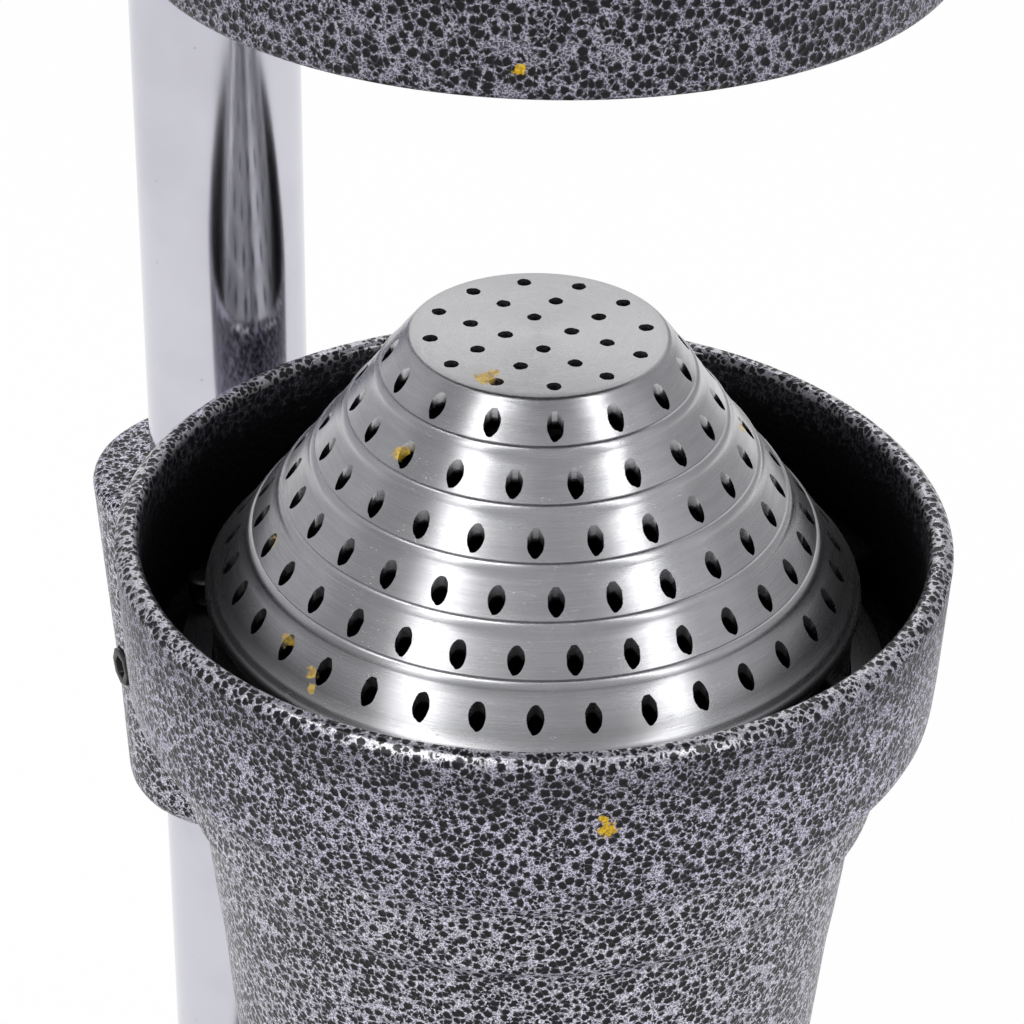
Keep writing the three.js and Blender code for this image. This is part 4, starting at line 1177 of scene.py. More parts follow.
    @classmethod
    def work(cls, piece: bpy.types.Object, tool: bpy.types.Object, cut: Cut) -> bpy.types.Object:
        """Cuts a tool out of a piece, or joins it on, and puts the tool away.

        Args:
            piece: the piece.
            tool: the tool.
            cut: what it does.

        Returns:
            The piece.
        """
        modifier = piece.modifiers.new("work", "BOOLEAN")
        modifier.operation = cut.value
        modifier.solver = "EXACT"
        modifier.object = tool
        cls.take(piece)
        bpy.ops.object.modifier_apply(modifier=modifier.name)
        bpy.data.objects.remove(tool, do_unlink=True)
        return piece

    @classmethod
    def round_edges(cls, piece: bpy.types.Object, width: float, steps: int = 2,
                    sharper_than: float = 40.0) -> bpy.types.Object:
        """Rounds all sharp edges.

        Args:
            piece: the piece.
            width: the radius, in millimetres.
            steps: how many faces a rounded edge has.
            sharper_than: the angle in degrees past which an edge is rounded.

        Returns:
            The piece.
        """
        modifier = piece.modifiers.new("round", "BEVEL")
        modifier.width = width * MM
        modifier.segments = steps
        modifier.limit_method = "ANGLE"
        modifier.angle_limit = math.radians(sharper_than)
        cls.take(piece)
        bpy.ops.object.modifier_apply(modifier=modifier.name)
        return piece

    @classmethod
    def smooth(cls, piece: bpy.types.Object, angle: float) -> None:
        """Shades a piece smooth up to an angle in degrees."""
        cls.take(piece)
        bpy.ops.object.shade_smooth_by_angle(angle=math.radians(angle))

    @classmethod
    def mend(cls, piece: bpy.types.Object) -> None:
        """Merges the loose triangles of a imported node's copy and dissolves the flat ones.

        Args:
            piece: the copy.
        """
        cls.edit(piece)
        bpy.ops.mesh.remove_doubles(threshold=cls.PACKED_GAP)
        bpy.ops.mesh.dissolve_limited(angle_limit=cls.FLAT_ANGLE)
        cls.close()


def arc(centre: Point, radius: float, start: float, end: float, steps: int) -> list[Point]:
    """Points of an arc in a profile.

    Args:
        centre: the arc's centre, as radius and height.
        radius: the arc's radius.
        start: its first angle in degrees.
        end: its last angle in degrees.
        steps: how many pieces it has.

    Returns:
        The points, both ends included.
    """
    angles = [math.radians(start + (end - start) * i / steps) for i in range(steps + 1)]
    return [(centre[0] + radius * math.cos(a), centre[1] + radius * math.sin(a)) for a in angles]


def dome(radius: float, shoulder: float, height: float, top: float, steps: int) -> list[Point]:
    """Points of an elliptical dome's profile.

    Args:
        radius: its radius at the shoulder.
        shoulder: the shoulder's height.
        height: how high the whole dome would rise above it.
        top: the height at which it ends.
        steps: how many pieces it has.

    Returns:
        The points, both ends included.
    """
    end = math.asin((top - shoulder) / height)
    return [(radius * math.cos(end * i / steps), shoulder + height * math.sin(end * i / steps))
            for i in range(steps + 1)]


def sector(inner: float, outer: float, middle: float, half: float, steps: int, centre: Point,
           height: float) -> list[Place]:
    """Corners of a flat piece of a ring.

    Args:
        inner: its inner radius.
        outer: its outer radius.
        middle: the angle of its middle, in degrees.
        half: half the angle that it takes, in degrees.
        steps: how many pieces each edge has.
        centre: the ring's centre.
        height: where it lies.

    Returns:
        The corners, out along the outer edge and back along the inner one.
    """
    start, end = (math.radians(middle + side * half) for side in (-1, 1))
    angles = [start + (end - start) * i / steps for i in range(steps + 1)]
    return [(radius * math.cos(a) + centre[0], radius * math.sin(a) + centre[1], height)
            for radius, edge in ((outer, angles), (inner, angles[::-1])) for a in edge]


@dataclass
class Assembly:
    """What every sub-assembly shares: where it stands, how its pieces are finished and which it dresses.

    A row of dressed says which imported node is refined, in which finish and slot, and how its edges are
    rounded, in millimetres.
    """

    finishes: Finishes
    nodes: dict[str, bpy.types.Object]
    body: Body = Body.STAND
    cup_axis: Point = (0.0, -15.0)
    column_axis: Point = (0.0, 76.0)
    rim: float = 270.0
    smooth_to: float = 32.0
    smooth_packed_to: float = 38.0
    dressed: tuple[Dressing, ...] = ()

    def build(self) -> None:
        """Models the sub-assembly's new pieces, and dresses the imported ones."""
        self.model()
        for node, finish, slot, rounding in self.dressed:
            piece = Bench.copy(self.nodes[node])
            piece.parent = None
            for key in [key for key in piece.keys() if key.startswith("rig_")]:
                del piece[key]
            Bench.mend(piece)
            Bench.round_edges(piece, rounding)
            Bench.smooth(piece, self.smooth_packed_to)
            self.done(piece, f"{node}_part", finish, slot, node)

    def model(self) -> None:
        """Models new pieces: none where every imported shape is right."""

    def done(self, piece: bpy.types.Object, name: str, finish: Finish, slot: Slot, node: str) -> None:
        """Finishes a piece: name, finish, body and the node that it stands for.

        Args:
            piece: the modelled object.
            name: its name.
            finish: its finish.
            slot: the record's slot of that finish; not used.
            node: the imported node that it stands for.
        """
        piece.name = name
        piece.data.name = name
        piece.data.materials.clear()
        piece.data.materials.append(self.finishes.get(finish))
        for polygon in piece.data.polygons:
            polygon.material_index = 0
        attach(piece, self.body.value)
        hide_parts(node)
        log.info("%s: %d faces, rides on %s", name, len(piece.data.polygons), self.body.value)


@dataclass
class CupCarrier(Assembly):
    """The cup with its collar, web, lugs and set screw."""

    body: Body = Body.CUP
    dressed: tuple[Dressing, ...] = (("cup_set_screw", BLACK_OXIDE, Slot.BLACK_STEEL, 0.2),)
    segments: int = 168
    collar_segments: int = 96
    bore_radius: float = 15.35
    bore_sides: int = 72
    bore_depths: Point = (106.0, 30.0)
    web_half: float = 13.0
    web_reach: float = 48.6
    web_depths: Point = (92.0, 36.0)
    web_round: float = 3.0
    web_round_steps: int = 3
    lug_radii: Point = (56.4, 66.6)
    lug_angles: Point = (0.0, 180.0)
    lug_half_angle: float = 17.0
    lug_steps: int = 10
    lug_depth: float = 25.0
    lug_height: float = 5.0
    lug_round: float = 0.7
    screw_angle: float = 168.0
    screw_depth: float = 71.0
    screw_radius: float = 4.2
    screw_reach: Point = (14.0, 30.0)
    screw_sides: int = 32

    def model(self) -> None:
        """Models the cup."""
        cup = self._outside()
        collar = self._collar()
        web = self._web()
        Bench.work(cup, collar, Cut.JOIN)
        Bench.work(cup, web, Cut.JOIN)
        Bench.work(cup, self._inside(), Cut.REMOVE)
        for angle in self.lug_angles:
            Bench.work(cup, self._lug(angle), Cut.JOIN)
        low, high = (self.rim - depth for depth in self.bore_depths)
        bore = Bench.bar(self.bore_radius, low, high, self.column_axis, self.bore_sides)
        Bench.work(cup, bore, Cut.REMOVE)
        Bench.work(cup, self._screw_hole(), Cut.REMOVE)
        Bench.smooth(cup, self.smooth_to)
        self.done(cup, "cup_casting", CUP_ENAMEL, Slot.HAMMERTONE, "cup")

    def _outside(self) -> bpy.types.Object:
        """The cup's outside as a full body: spout, bowl, neck, band and lip."""
        profile = [
            (0, -128), (12.6, -128), *arc((12.6, -126.6), 1.4, -90, 0, 3), (14, -117),
            *arc((16.5, -117), 2.5, 180, 100, 3),
            *arc((35.2, -96), 17.6, -72, 0, 8),
            (54.3, -78), (55.3, -70), (56.25, -61), (56.9, -53), (57.15, -50.6),
            (57.6, -49.4), (58.6, -48.2), (59.6, -47.4), (60.2, -46.4), (60.5, -45.2),
            (60.9, -40), (61.25, -36), (61.5, -34.2), (62.2, -32.6), (63.6, -31.2), (65.4, -30.0),
            (67.0, -29.0), (67.9, -28.2), (68.4, -27.1), (68.6, -25.6),
            (69.0, -20), (69.4, -10), (69.7, -2.0), (69.8, -0.1), (69.75, 0.2), (69.5, 0.55), (69.2, 0.82),
            (68.9, 1.09), (68.6, 1.36), (68.2, 1.55), (67.7, 1.6), (0, 1.6),
        ]
        return Bench.turned(profile, self.segments, self.cup_axis, self.rim)

    def _inside(self) -> bpy.types.Object:
        """The space inside the cup, as a cutting tool."""
        profile = [
            (0, -129), (10.5, -129), (10.5, -109.6), (11.6, -108.5),
            *arc((32.9, -93), 15.5, -70, 0, 7),
            (50.9, -70), (53.4, -48.5), (54.2, -46.4), (55.6, -44.6), (56.0, -43.6),
            (56.8, -27.8), (64.4, -27.8), (65.2, -27.0), (65.5, -15), (65.7, -0.6),
            (65.8, 0.5), (66.2, 1.2), (66.8, 1.62), (67.0, 2.6), (0, 2.6),
        ]
        return Bench.turned(profile, self.segments, self.cup_axis, self.rim)

    def _collar(self) -> bpy.types.Object:
        """The collar around the column, as a full body."""
        profile = [
            (0, -104), (16.8, -104), *arc((16.9, -98.9), 5.1, -90, 0, 5),
            (22.4, -90), (22.9, -78), (23.9, -64), (24.8, -51), (25.9, -34.4),
            *arc((23.7, -33.8), 2.3, 5, 90, 5), (0, -31.5),
        ]
        return Bench.turned(profile, self.collar_segments, self.column_axis, self.rim)

    def _web(self) -> bpy.types.Object:
        """The web between cup and collar."""
        low, high = (self.rim - depth for depth in self.web_depths)
        return Bench.slab((-self.web_half, self.cup_axis[1] + self.web_reach, low),
                          (self.web_half, self.column_axis[1], high), self.web_round, self.web_round_steps)

    def _lug(self, angle: float) -> bpy.types.Object:
        """One lug on the cup's inner wall, a wedge of a ring.

        Args:
            angle: where on the wall it is, in degrees.

        Returns:
            The lug.
        """
        corners = sector(*self.lug_radii, angle, self.lug_half_angle, self.lug_steps, self.cup_axis,
                         self.rim - self.lug_depth)
        return Bench.raised(corners, (0, 0, self.lug_height), self.lug_round)

    def _screw_hole(self) -> bpy.types.Object:
        """The recess of the set screw in the collar's side."""
        hole = Bench.bar(self.screw_radius, *self.screw_reach, sides=self.screw_sides)
        Bench.settle(hole, turn=(0, math.pi / 2, 0))
        Bench.settle(hole, turn=(0, 0, math.radians(self.screw_angle)))
        return Bench.settle(hole, (*self.column_axis, self.rim - self.screw_depth))


@dataclass
class StrainerInsert(Assembly):
    """The stepped strainer with its drilled rows, bead, skirt, flange and grab nubs.

    Rises are measured from the cup's rim. A ring of the top is a count, a share of the top's radius and the
    angle of its first hole.
    """

    body: Body = Body.STRAINER
    smooth_to: float = 30.0
    segments: int = 288
    top_rise: float = 36.75
    top_radius: float = 21.4
    base_radius: float = 54.2
    base_rise: float = -8.6
    band_rise: float = 7.4
    last_band_rise: float = 9.6
    bands: int = 6
    band_foot: float = 0.36
    band_head: float = 1.60
    band_inset: float = 0.10
    band_steps: int = 6
    lowest_foot: float = -7.2
    top_edge: float = 1.1
    # A step's points from below up, each as what it adds to the cone's radius and to the step's rise
    step_shape: tuple[Point, ...] = (
        (0.93, -1.28), (0.79, -0.95), (0.64, -0.66), (0.46, -0.40), (0.28, -0.20), (0.07, -0.07),
        (-0.16, -0.01), (-0.29, 0.01), (-0.30, 0.09), (-0.21, 0.16))
    drill_radius: float = 1.36
    drill_from: float = -14.0
    drill_above_step: float = 2.72
    wide_burr: float = 0.15
    wide_seeds: range = range(5)
    row_counts: tuple[int, ...] = (15, 19, 23, 27, 31, 35)
    row_phases: tuple[float, ...] = (0.89, 0.81, 0.74, 0.665, 0.57, 0.48)
    top_drill_radius: float = 1.2
    top_drill_from: float = 20.0
    top_burr: float = 0.12
    top_seeds: range = range(5, 8)
    top_rings: tuple[tuple[int, float, float], ...] = ((4, 0.25, -31.3), (8, 0.53, -53.6), (12, 0.82, -31.3))
    drill_to: float = 45.0
    drill_sides: int = 20
    drill_wear: float = 0.05
    tip_turn: float = 0.5
    tip_width: float = 0.38
    same_side: float = 0.99
    drill_stride: int = 7
    notch_radii: Point = (54.5, 62.0)
    notch_angles: Point = (90.0, 270.0)
    notch_half_angle: float = 21.0
    notch_steps: int = 12
    notch_depth: float = 29.0
    notch_height: float = 5.0
    nub_angles: Point = (126.0, 306.0)
    nub_low: Place = (52.6, -2.75, -25.6)
    nub_high: Place = (62.0, 2.75, -21.0)
    nub_outside: float = 60.0
    nub_corner: float = 2.6
    nub_corner_steps: int = 5
    nub_round: float = 0.6
    edge_round: float = 0.13
    edge_angle: float = 62.0

    def model(self) -> None:
        """Models the strainer."""
        shell = Bench.turned(self._profile(), self.segments, self.cup_axis, self.rim)
        Bench.work(shell, self._notches(), Cut.REMOVE)
        Bench.work(shell, self._drills(), Cut.REMOVE)
        for angle in self.nub_angles:
            Bench.work(shell, self._nub(angle), Cut.JOIN)
        Bench.round_edges(shell, self.edge_round, 1, self.edge_angle)
        Bench.smooth(shell, self.smooth_to)
        self.done(shell, "strainer_cone", STRAINER_METAL, Slot.ALUMINIUM, "strainer")

    def _cone_radius(self, rise: float) -> float:
        """The radius of the plain cone at a rise above the rim."""
        slope = (self.base_radius - self.top_radius) / (self.top_rise - self.base_rise)
        return self.top_radius + (self.top_rise - rise) * slope

    def _step_rises(self) -> list[float]:
        """Heights of the steps between bands, from the lowest up."""
        lowest = self.base_rise + self.last_band_rise
        return [lowest + i * self.band_rise for i in range(self.bands - 1)]

    def _profile(self) -> list[Point]:
        """The strainer's closed profile, outside from the flange up and inside down again."""
        rises = self._step_rises()
        points: list[Point] = [
            (51.8, -27.5), (60.2, -27.5), (60.5, -27.2), (60.5, -25.6), (60.2, -25.3), (54.6, -25.3),
            (54.2, -24.9), (54.2, -12.6), (54.5, -12.0), *arc((53.75, -10.2), 1.5, -50, 55, 7),
            (54.25, -8.6), (53.95, -8.1), (53.6, -7.7), *self._band(self.lowest_foot, rises[0]),
        ]
        for foot, head in zip(rises, [*rises[1:], self.top_rise - self.top_edge]):
            radius = self._cone_radius(foot)
            points += [(radius + out, foot + up) for out, up in self.step_shape]
            points += self._band(foot + self.band_foot, head)
        return points + [
            (22.05, 35.55), *arc((20.7, 35.55), 1.05, 25, 90, 4), (19.4, 36.65), (0, 36.65),
            (0, 34.9), (20.9, 34.9), (52.7, -9.1), (52.7, -12), (51.8, -13),
        ]

    def _band(self, low: float, high: float) -> list[Point]:
        """Points up a band's straight flank, close enough together for clean shading around the holes.

        Args:
            low: the rise at which the flank starts.
            high: the rise of the step above it.

        Returns:
            The points.
        """
        top = high - self.band_head
        rises = [low + (top - low) * i / self.band_steps for i in range(self.band_steps + 1)]
        return [(self._cone_radius(rise) - self.band_inset, rise) for rise in rises]

    def _notches(self) -> bpy.types.Object:
        """The two openings of the flange that pass the lugs, as a cutting tool."""
        tools = []
        for angle in self.notch_angles:
            corners = sector(*self.notch_radii, angle, self.notch_half_angle, self.notch_steps, self.cup_axis,
                             self.rim - self.notch_depth)
            tools.append(Bench.raised(corners, (0, 0, self.notch_height)))
        return Bench.joined(tools)

    def _drills(self) -> bpy.types.Object:
        """All drills as one cutting tool: a few worn drills are modelled and the rest are their copies."""
        wide = [self._worn_drill(self.drill_radius, self.drill_from, seed, self.wide_burr)
                for seed in self.wide_seeds]
        narrow = [self._worn_drill(self.top_drill_radius, self.top_drill_from, seed, self.top_burr)
                  for seed in self.top_seeds]
        rises = self._step_rises()
        feet = [*rises[::-1], rises[0] - self.band_rise]
        tools = []
        for count, phase, foot in zip(self.row_counts, self.row_phases, feet):
            radius = self._cone_radius(foot + self.drill_above_step)
            tools += self._ring(wide, count, radius, phase * FULL_TURN / count)
        for count, share, turn in self.top_rings:
            tools += self._ring(narrow, count, share * self.top_radius, math.radians(turn))
        for drill in (*wide, *narrow):
            bpy.data.objects.remove(drill, do_unlink=True)
        return Bench.joined(tools)

    def _worn_drill(self, radius: float, low: float, seed: int, burr: float) -> bpy.types.Object:
        """A drill whose cut runs out to a small uneven tip on the side away from the strainer's axis.

        Args:
            radius: the drill's radius.
            low: the height of its lower end above the rim.
            seed: which wear it has.
            burr: how far the tip runs out, as a share of the radius.

        Returns:
            The drill, at the origin.
        """
        drill = Bench.bar(radius, low, self.drill_to, sides=self.drill_sides)
        wear = random.Random(seed)
        tip = wear.uniform(-self.tip_turn, self.tip_turn)
        Bench.edit(drill)
        for side in range(self.drill_sides):
            angle = math.remainder(side * FULL_TURN / self.drill_sides, FULL_TURN)
            towards = Vector((math.cos(angle), math.sin(angle), 0))
            push = (wear.uniform(-self.drill_wear, self.drill_wear)
                    + burr * math.exp(-((angle - tip) / self.tip_width) ** 2))
            Bench.select_verts(
                drill, lambda vertex: vertex.co.xy.normalized().dot(towards.xy) > self.same_side)
            bpy.ops.transform.translate(value=tuple(towards * push * radius * MM))
        Bench.close()
        return drill

    def _ring(self, drills: Sequence[bpy.types.Object], count: int, radius: float,
              start: float) -> list[bpy.types.Object]:
        """Copies of the drills in a ring, each turned outwards and with its own mesh.

        Args:
            drills: the drills, at the origin.
            count: how many copies the ring has.
            radius: the ring's radius.
            start: the angle of the first copy, in radians.

        Returns:
            The copies.
        """
        made = []
        for i in range(count):
            angle = start + i * FULL_TURN / count
            drill = drills[(i * self.drill_stride + count) % len(drills)]
            copy = drill.copy()
            copy.data = drill.data.copy()
            place = Vector((
                radius * math.cos(angle), self.cup_axis[1] + radius * math.sin(angle), self.rim))
            copy.data.transform(Matrix.Translation(place * MM) @ Matrix.Rotation(angle, 4, "Z"))
            bpy.context.collection.objects.link(copy)
            made.append(copy)
        return made

    def _nub(self, angle: float) -> bpy.types.Object:
        """A small rounded grab nub on the skirt.

        Args:
            angle: where on the skirt it is, in degrees.

        Returns:
            The nub.
        """
        nub = Bench.slab(self.nub_low, self.nub_high)
        Bench.edit(nub)
        Bench.select_edges(nub, lambda edge: (
            abs((edge.verts[0].co - edge.verts[1].co).normalized().z) > Bench.UPRIGHT
            and edge.verts[0].co.x > self.nub_outside * MM))
        bpy.ops.mesh.bevel(offset=self.nub_corner * MM, segments=self.nub_corner_steps, affect="EDGES")
        Bench.close()
        Bench.round_edges(nub, self.nub_round, sharper_than=Bench.RAISED_ANGLE)
        Bench.settle(nub, turn=(0, 0, math.radians(angle)))
        return Bench.settle(nub, (*self.cup_axis, self.rim))


@dataclass
class PressRam(Assembly):
    """The bell, the ram with its rack and what bolts them together."""

    body: Body = Body.RAM
    dressed: tuple[Dressing, ...] = (
        ("ram", TURNED_STEEL, Slot.STEEL, 0.25),
        ("bell_washer", TURNED_STEEL, Slot.STEEL, 0.25),
        ("bell_nut", MILLED_STEEL, Slot.STEEL, 0.4),
        ("ram_stop_washer", TURNED_STEEL, Slot.STEEL, 0.4),
        ("ram_stop_screw", BLACK_OXIDE, Slot.BLACK_STEEL, 0.3),
    )
    edge: float = 375.8
    segments: int = 168
    radius: float = 62.9
    shoulder: float = 22.0
    crown: float = 50.0
    inner_radius: float = 58.9
    inner_shoulder: float = 19.0
    inner_crown: float = 47.5
    inner_top: float = 65.0
    boss_root: float = 20.5
    outer_steps: int = 18
    inner_steps: int = 14

    def model(self) -> None:
        """Models the press bell; its profile's heights are measured from its lower edge."""
        inner = dome(self.inner_radius, self.inner_shoulder, self.inner_crown, self.inner_top,
                     self.inner_steps)
        root = self.shoulder + self.crown * math.sqrt(1 - (self.boss_root / self.radius) ** 2)
        outer = dome(self.radius, self.shoulder, self.crown, root, self.outer_steps)
        profile = [
            (6.4, self.inner_top), *inner[::-1], (self.inner_radius, 2.2),
            *arc((60.3, 1.5), 1.4, 180, 270, 4), *arc((61.3, 1.6), 1.6, -90, 0, 5), *outer,
            (19.2, 70.4), (18.4, 71.6), (18.0, 73.2), (18.0, 82.8), (16.8, 84), (6.4, 84),
        ]
        bell = Bench.turned(profile, self.segments, self.cup_axis, self.edge)
        Bench.smooth(bell, self.smooth_to)
        self.done(bell, "bell_casting", SHADED_BELL_ENAMEL, Slot.HAMMERTONE, "bell")


@dataclass
class Stand(Assembly):
    """Base, feet, column and head."""

    body: Body = Body.STAND
    dressed: tuple[Dressing, ...] = (
        ("base", ENAMEL, Slot.HAMMERTONE, 0.8),
        ("head", ENAMEL, Slot.HAMMERTONE, 0.8),
        ("column_plug", MILLED_STEEL, Slot.STEEL, 0.3),
        ("column_washer", MILLED_STEEL, Slot.STEEL, 0.3),
        ("column_bolt", MILLED_STEEL, Slot.STEEL, 0.3),
        ("base_set_screw", BLACK_OXIDE, Slot.BLACK_STEEL, 0.2),
        ("head_set_screw_lower", BLACK_OXIDE, Slot.BLACK_STEEL, 0.2),
        ("head_set_screw_upper", BLACK_OXIDE, Slot.BLACK_STEEL, 0.2),
        ("guide_bush_lower", BRONZE, Slot.BRONZE, 0.3),
        ("guide_bush_upper", BRONZE, Slot.BRONZE, 0.3),
        ("shaft_bush_left", BRONZE, Slot.BRONZE, 0.3),
        ("shaft_bush_right", BRONZE, Slot.BRONZE, 0.3),
        ("stop_pin_upper", MILLED_STEEL, Slot.STEEL, 0.2),
        ("stop_pin_lower", MILLED_STEEL, Slot.STEEL, 0.2),
        *((f"{piece}_{place}", *look) for place in ("front_left", "front_right", "rear_left", "rear_right")
          for piece, look in (("foot", (RUBBER, Slot.RUBBER, 0.6)),
                              ("foot_screw", (MILLED_STEEL, Slot.STEEL, 0.3)))),
    )
    column_segments: int = 128

    def model(self) -> None:
        """Models the plated column, a tube with chamfered ends."""
        profile = [
            (12.5, 24.9), (13.1, 24.3), (14.4, 24.3), (15, 24.9),
            (15, 449.4), (14.4, 450), (13.1, 450), (12.5, 449.4),
        ]
        column = Bench.turned(profile, self.column_segments, self.column_axis)
        Bench.smooth(column, self.smooth_to)
        self.done(column, "column_tube", PLATING, Slot.CHROME, "column")


@dataclass
class LeverArm(Assembly):
    """Sector, shaft, hub, lever bar and grip."""

    body: Body = Body.LEVER
    dressed: tuple[Dressing, ...] = (
        ("sector", MILLED_STEEL, Slot.STEEL, 0.3),
        ("sector_pin", MILLED_STEEL, Slot.STEEL, 0.2),
        ("pivot_shaft", SHAFT_STEEL, Slot.STEEL, 0.3),
        ("shaft_collar", SHAFT_STEEL, Slot.STEEL, 0.3),
        ("shaft_collar_screw", BLACK_OXIDE, Slot.BLACK_STEEL, 0.2),
        ("lever_hub", ENAMEL, Slot.HAMMERTONE, 0.8),
        ("hub_set_screw", BLACK_OXIDE, Slot.BLACK_STEEL, 0.2),
        ("lever_set_screw", BLACK_OXIDE, Slot.BLACK_STEEL, 0.2),
        ("hub_washer", SHAFT_STEEL, Slot.STEEL, 0.3),
        ("hub_nut", PLATING, Slot.CHROME, 0.4),
        ("lever_bar", PLATING, Slot.CHROME, 0.4),
        ("lever_grip", GRIP, Slot.GRIP, 0.6),
        ("grip_cap", PLATING, Slot.CHROME, 0.4),
    )


@dataclass(frozen=True)
class Softbox:
    """A soft rectangular lamp that faces the cup.

    Its side is an angle from the camera's direction to the right and its height an elevation, both in
    degrees. Its distance and its size are in metres.
    """

    name: str
    side: float
    height: float
    distance: float
    size: Point
    watts: float
    tint: Colour = (1.0, 1.0, 1.0)
    mirrored: bool = True


@dataclass
class Studio:
    """Camera, floor, lamps, screen and world.

    The camera's distance is in millimetres and its angles are in degrees; the floor's and the screen's sizes
    are in metres. A row of screen_tones is two bearings from the camera's direction, in degrees, and the grey
    to which the screen changes between them.
    """

    target: Vector = field(default_factory=lambda: Vector((0, -15, 270)) * MM)
    azimuth: float = -39.3
    elevation: float = 31.70
    roll: float = 1.06
    distance: float = 551.0
    focal_pixels: float = 3295.0
    frame_pixels: float = 1024.0
    target_pixel: Point = (534.3, 525.6)
    sensor_width: float = 36.0
    clipping: Point = (0.01, 50.0)
    floor_radius: float = 6.0
    floor_sides: int = 96
    floor_colour: Colour = (0.86, 0.86, 0.86)
    floor_whiteness: float = 0.95
    room_colour: Colour = (0.985, 0.985, 1.0)
    room_strength: float = 0.66
    white: Colour = (1.0, 1.0, 1.0)
    screen_radius: float = 3.0
    screen_segments: int = 72
    screen_rings: int = 36
    screen_heights: Point = (0.05, 2.8)
    screen_reach: Point = (-150.0, 165.0)
    screen_tone: Colour = (0.50, 0.50, 0.52)
    screen_tones: tuple[tuple[Step, Colour], ...] = (
        ((-95, -85), (0.33, 0.33, 0.342)),
        ((-62, -54), (0.45, 0.45, 0.464)),
        ((64, 72), (0.58, 0.58, 0.597)),
        ((85, 95), (0.40, 0.40, 0.412)),
    )
    softboxes: tuple[Softbox, ...] = (
        Softbox("left_softbox", -43, 37, 1.5, (0.42, 1.3), 4.2),
        Softbox("right_softbox", 53, 37, 1.5, (0.27, 1.3), 3.3),
        Softbox("upper_left_softbox", -58, 64, 1.6, (1.25, 0.45), 5.6),
        Softbox("far_left_softbox", -104, 30, 1.9, (1.7, 1.7), 4.4, (0.92, 0.92, 1.0), False),
        Softbox("far_right_softbox", 108, 30, 1.9, (1.7, 1.7), 8.4, (0.92, 0.92, 1.0), False),
        Softbox("rear_softbox", 165, 45, 1.9, (1.7, 1.3), 2.4),
    )

    def build(self) -> None:
        """Sets up the studio."""
        self._camera()
        self._floor()
        self._world()
        self._screen()
        for softbox in self.softboxes:
            self._lamp(softbox)
        bpy.context.scene.view_settings.view_transform = "Standard"

    @staticmethod
    def _towards(azimuth: float, elevation: float) -> Vector:
        """The direction from the target to a place at an azimuth and elevation, in degrees."""
        turn, lift = math.radians(azimuth), math.radians(elevation)
        return Vector((math.sin(turn) * math.cos(lift), -math.cos(turn) * math.cos(lift), math.sin(lift)))

    def _camera(self) -> None:
        """The camera at the photograph's place."""
        turn, roll = math.radians(self.azimuth), math.radians(self.roll)
        back = self._towards(self.azimuth, self.elevation)
        right = Vector((math.cos(turn), math.sin(turn), 0))
        up = back.cross(right)
        rolled_right = right * math.cos(roll) + up * math.sin(roll)
        rolled_up = up * math.cos(roll) - right * math.sin(roll)
        middle = self.frame_pixels / 2
        per_pixel = self.distance / self.focal_pixels
        place = (back * self.distance
                 - rolled_right * (self.target_pixel[0] - middle) * per_pixel
                 + rolled_up * (self.target_pixel[1] - middle) * per_pixel)
        data = bpy.data.cameras.new("photo_camera")
        data.sensor_width = self.sensor_width
        data.lens = self.focal_pixels / self.frame_pixels * data.sensor_width
        data.clip_start, data.clip_end = self.clipping
        camera = bpy.data.objects.new("photo_camera", data)
        bpy.context.scene.collection.objects.link(camera)
        pose = Matrix((rolled_right, rolled_up, back)).transposed().to_4x4()
        camera.matrix_world = Matrix.Translation(self.target + place * MM) @ pose
        bpy.context.scene.camera = camera

    def _floor(self) -> None:
        """A plain pale floor that is white to the camera and keeps a soft shadow."""
        Bench.deselect()
        bpy.ops.mesh.primitive_circle_add(
            vertices=self.floor_sides, radius=self.floor_radius, fill_type="NGON", location=(0, 0, 0))
        floor = bpy.context.object
        floor.name = "studio_floor"
        recipe = Recipe(bpy.data.materials.new("studio_floor"))
        matt = recipe.node("ShaderNodeBsdfDiffuse", None, {"Color": (*self.floor_colour, 1.0)})
        mixed = recipe.node("ShaderNodeMixShader", None, {
            0: self._seen(recipe) * self.floor_whiteness, 1: matt.outputs[0], 2: recipe.glow(self.white)})
        recipe.node("ShaderNodeOutputMaterial", None, {"Surface": mixed.outputs[0]})
        floor.data.materials.append(recipe.owner)

    def _seen(self, recipe: Recipe) -> Signal:
        """Whether the camera sees a surface straight, mirrored or through glass.

        Args:
            recipe: the recipe that is being built.

        Returns:
            1 where it does and 0 where not.
        """
        path = recipe.node("ShaderNodeLightPath")
        camera, glossy, through = (
            Signal(recipe, path.outputs[f"Is {kind} Ray"]) for kind in ("Camera", "Glossy", "Transmission"))
        return camera.largest(glossy).largest(through)

    def _world(self) -> None:
        """A plain soft room light that the camera and metal see as white."""
        world = bpy.data.worlds.new("studio_room")
        recipe = Recipe(world)
        light, white = (
            recipe.node("ShaderNodeBackground", None, {"Color": (*colour, 1.0), "Strength": strength})
            for colour, strength in ((self.room_colour, self.room_strength), (self.white, 1.0)))
        mix = recipe.node("ShaderNodeMixShader", None, {
            0: self._seen(recipe), 1: light.outputs[0], 2: white.outputs[0]})
        recipe.node("ShaderNodeOutputWorld", None, {0: mix.outputs[0]})
        bpy.context.scene.world = world

    def _ahead(self, x: Operand, y: Operand) -> Operand:
        """How far a place lies in the camera's direction from the middle of the floor."""
        turn = math.radians(self.azimuth)
        return x * math.sin(turn) - y * math.cos(turn)

    def _aside(self, x: Operand, y: Operand) -> Operand:
        """How far a place lies to the camera's right from the middle of the floor."""
        turn = math.radians(self.azimuth)
        return x * math.cos(turn) + y * math.sin(turn)

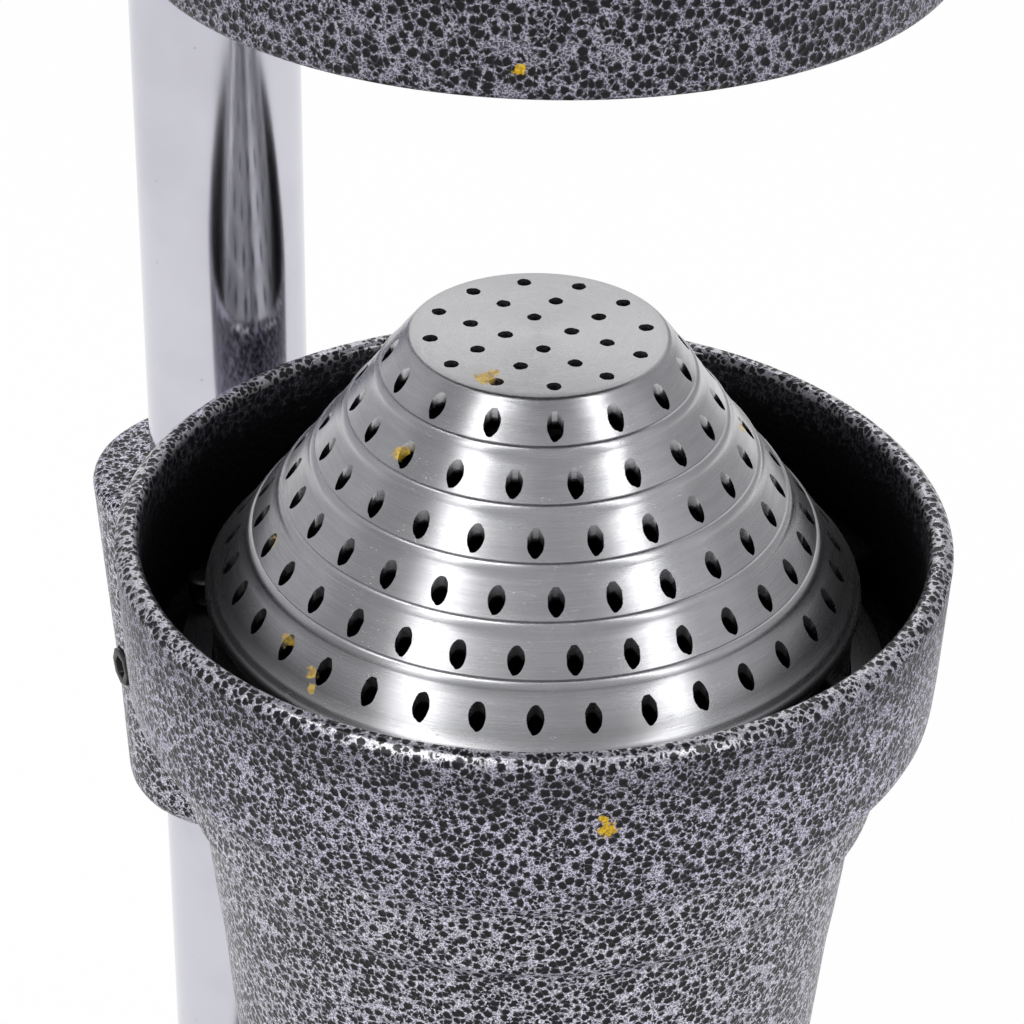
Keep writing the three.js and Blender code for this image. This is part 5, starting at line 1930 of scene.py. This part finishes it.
    def _off_screen(self, face: bmesh.types.BMFace) -> bool:
        """Whether a face is off the screen, by its height or its bearing from the camera.

        Args:
            face: a face of the ball that the screen is cut from.

        Returns:
            Whether it goes.
        """
        (low, high), (left, right) = self.screen_heights, self.screen_reach
        x, y, height = face.calc_center_median()
        bearing = math.degrees(math.atan2(self._aside(x, y), self._ahead(x, y)))
        return not (low < height < high and left < bearing < right)

    def _screen(self) -> None:
        """A grey screen around the photographer's side, between the softboxes, that metal mirrors."""
        Bench.deselect()
        bpy.ops.mesh.primitive_uv_sphere_add(
            segments=self.screen_segments, ring_count=self.screen_rings, radius=self.screen_radius)
        screen = bpy.context.object
        screen.name = "studio_screen"
        Bench.edit(screen)
        Bench.select_faces(screen, self._off_screen)
        bpy.ops.mesh.delete(type="FACE")
        Bench.close()
        Bench.settle(screen)
        recipe = Recipe(bpy.data.materials.new("studio_screen"))
        x, y, _ = recipe.split(recipe.place(scale=(1, 1, 1)))
        bearing = self._aside(x, y).arctan(self._ahead(x, y)) * math.degrees(1)
        grey: Input = self.screen_tone
        for reach, tone in self.screen_tones:
            grey = recipe.blend(bearing.step(*reach), grey, tone)
        recipe.node("ShaderNodeOutputMaterial", None, {"Surface": recipe.glow(grey)})
        screen.data.materials.append(recipe.owner)
        screen.visible_camera = False
        screen.visible_diffuse = False
        screen.visible_shadow = False

    def _lamp(self, softbox: Softbox) -> None:
        """Hangs one softbox.

        Args:
            softbox: the lamp's sizes, place and light.
        """
        back = self._towards(self.azimuth + softbox.side, softbox.height)
        data = bpy.data.lights.new(softbox.name, "AREA")
        data.shape = "RECTANGLE"
        data.size, data.size_y = softbox.size
        data.energy = softbox.watts
        data.color = softbox.tint
        lamp = bpy.data.objects.new(softbox.name, data)
        bpy.context.scene.collection.objects.link(lamp)
        lamp.visible_glossy = softbox.mirrored
        lamp.location = self.target + back * softbox.distance
        lamp.rotation_mode = "QUATERNION"
        lamp.rotation_quaternion = (-back).to_track_quat("-Z", "Y")


def main() -> None:
    """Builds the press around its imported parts, and the studio."""
    logging.basicConfig(level=logging.INFO, format="%(message)s")
    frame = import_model()
    finishes = Finishes()
    for assembly in (Stand, CupCarrier, StrainerInsert, PressRam, LeverArm):
        assembly(finishes, frame["nodes"]).build()
    Studio().build()


if __name__ == "__main__":
    main()
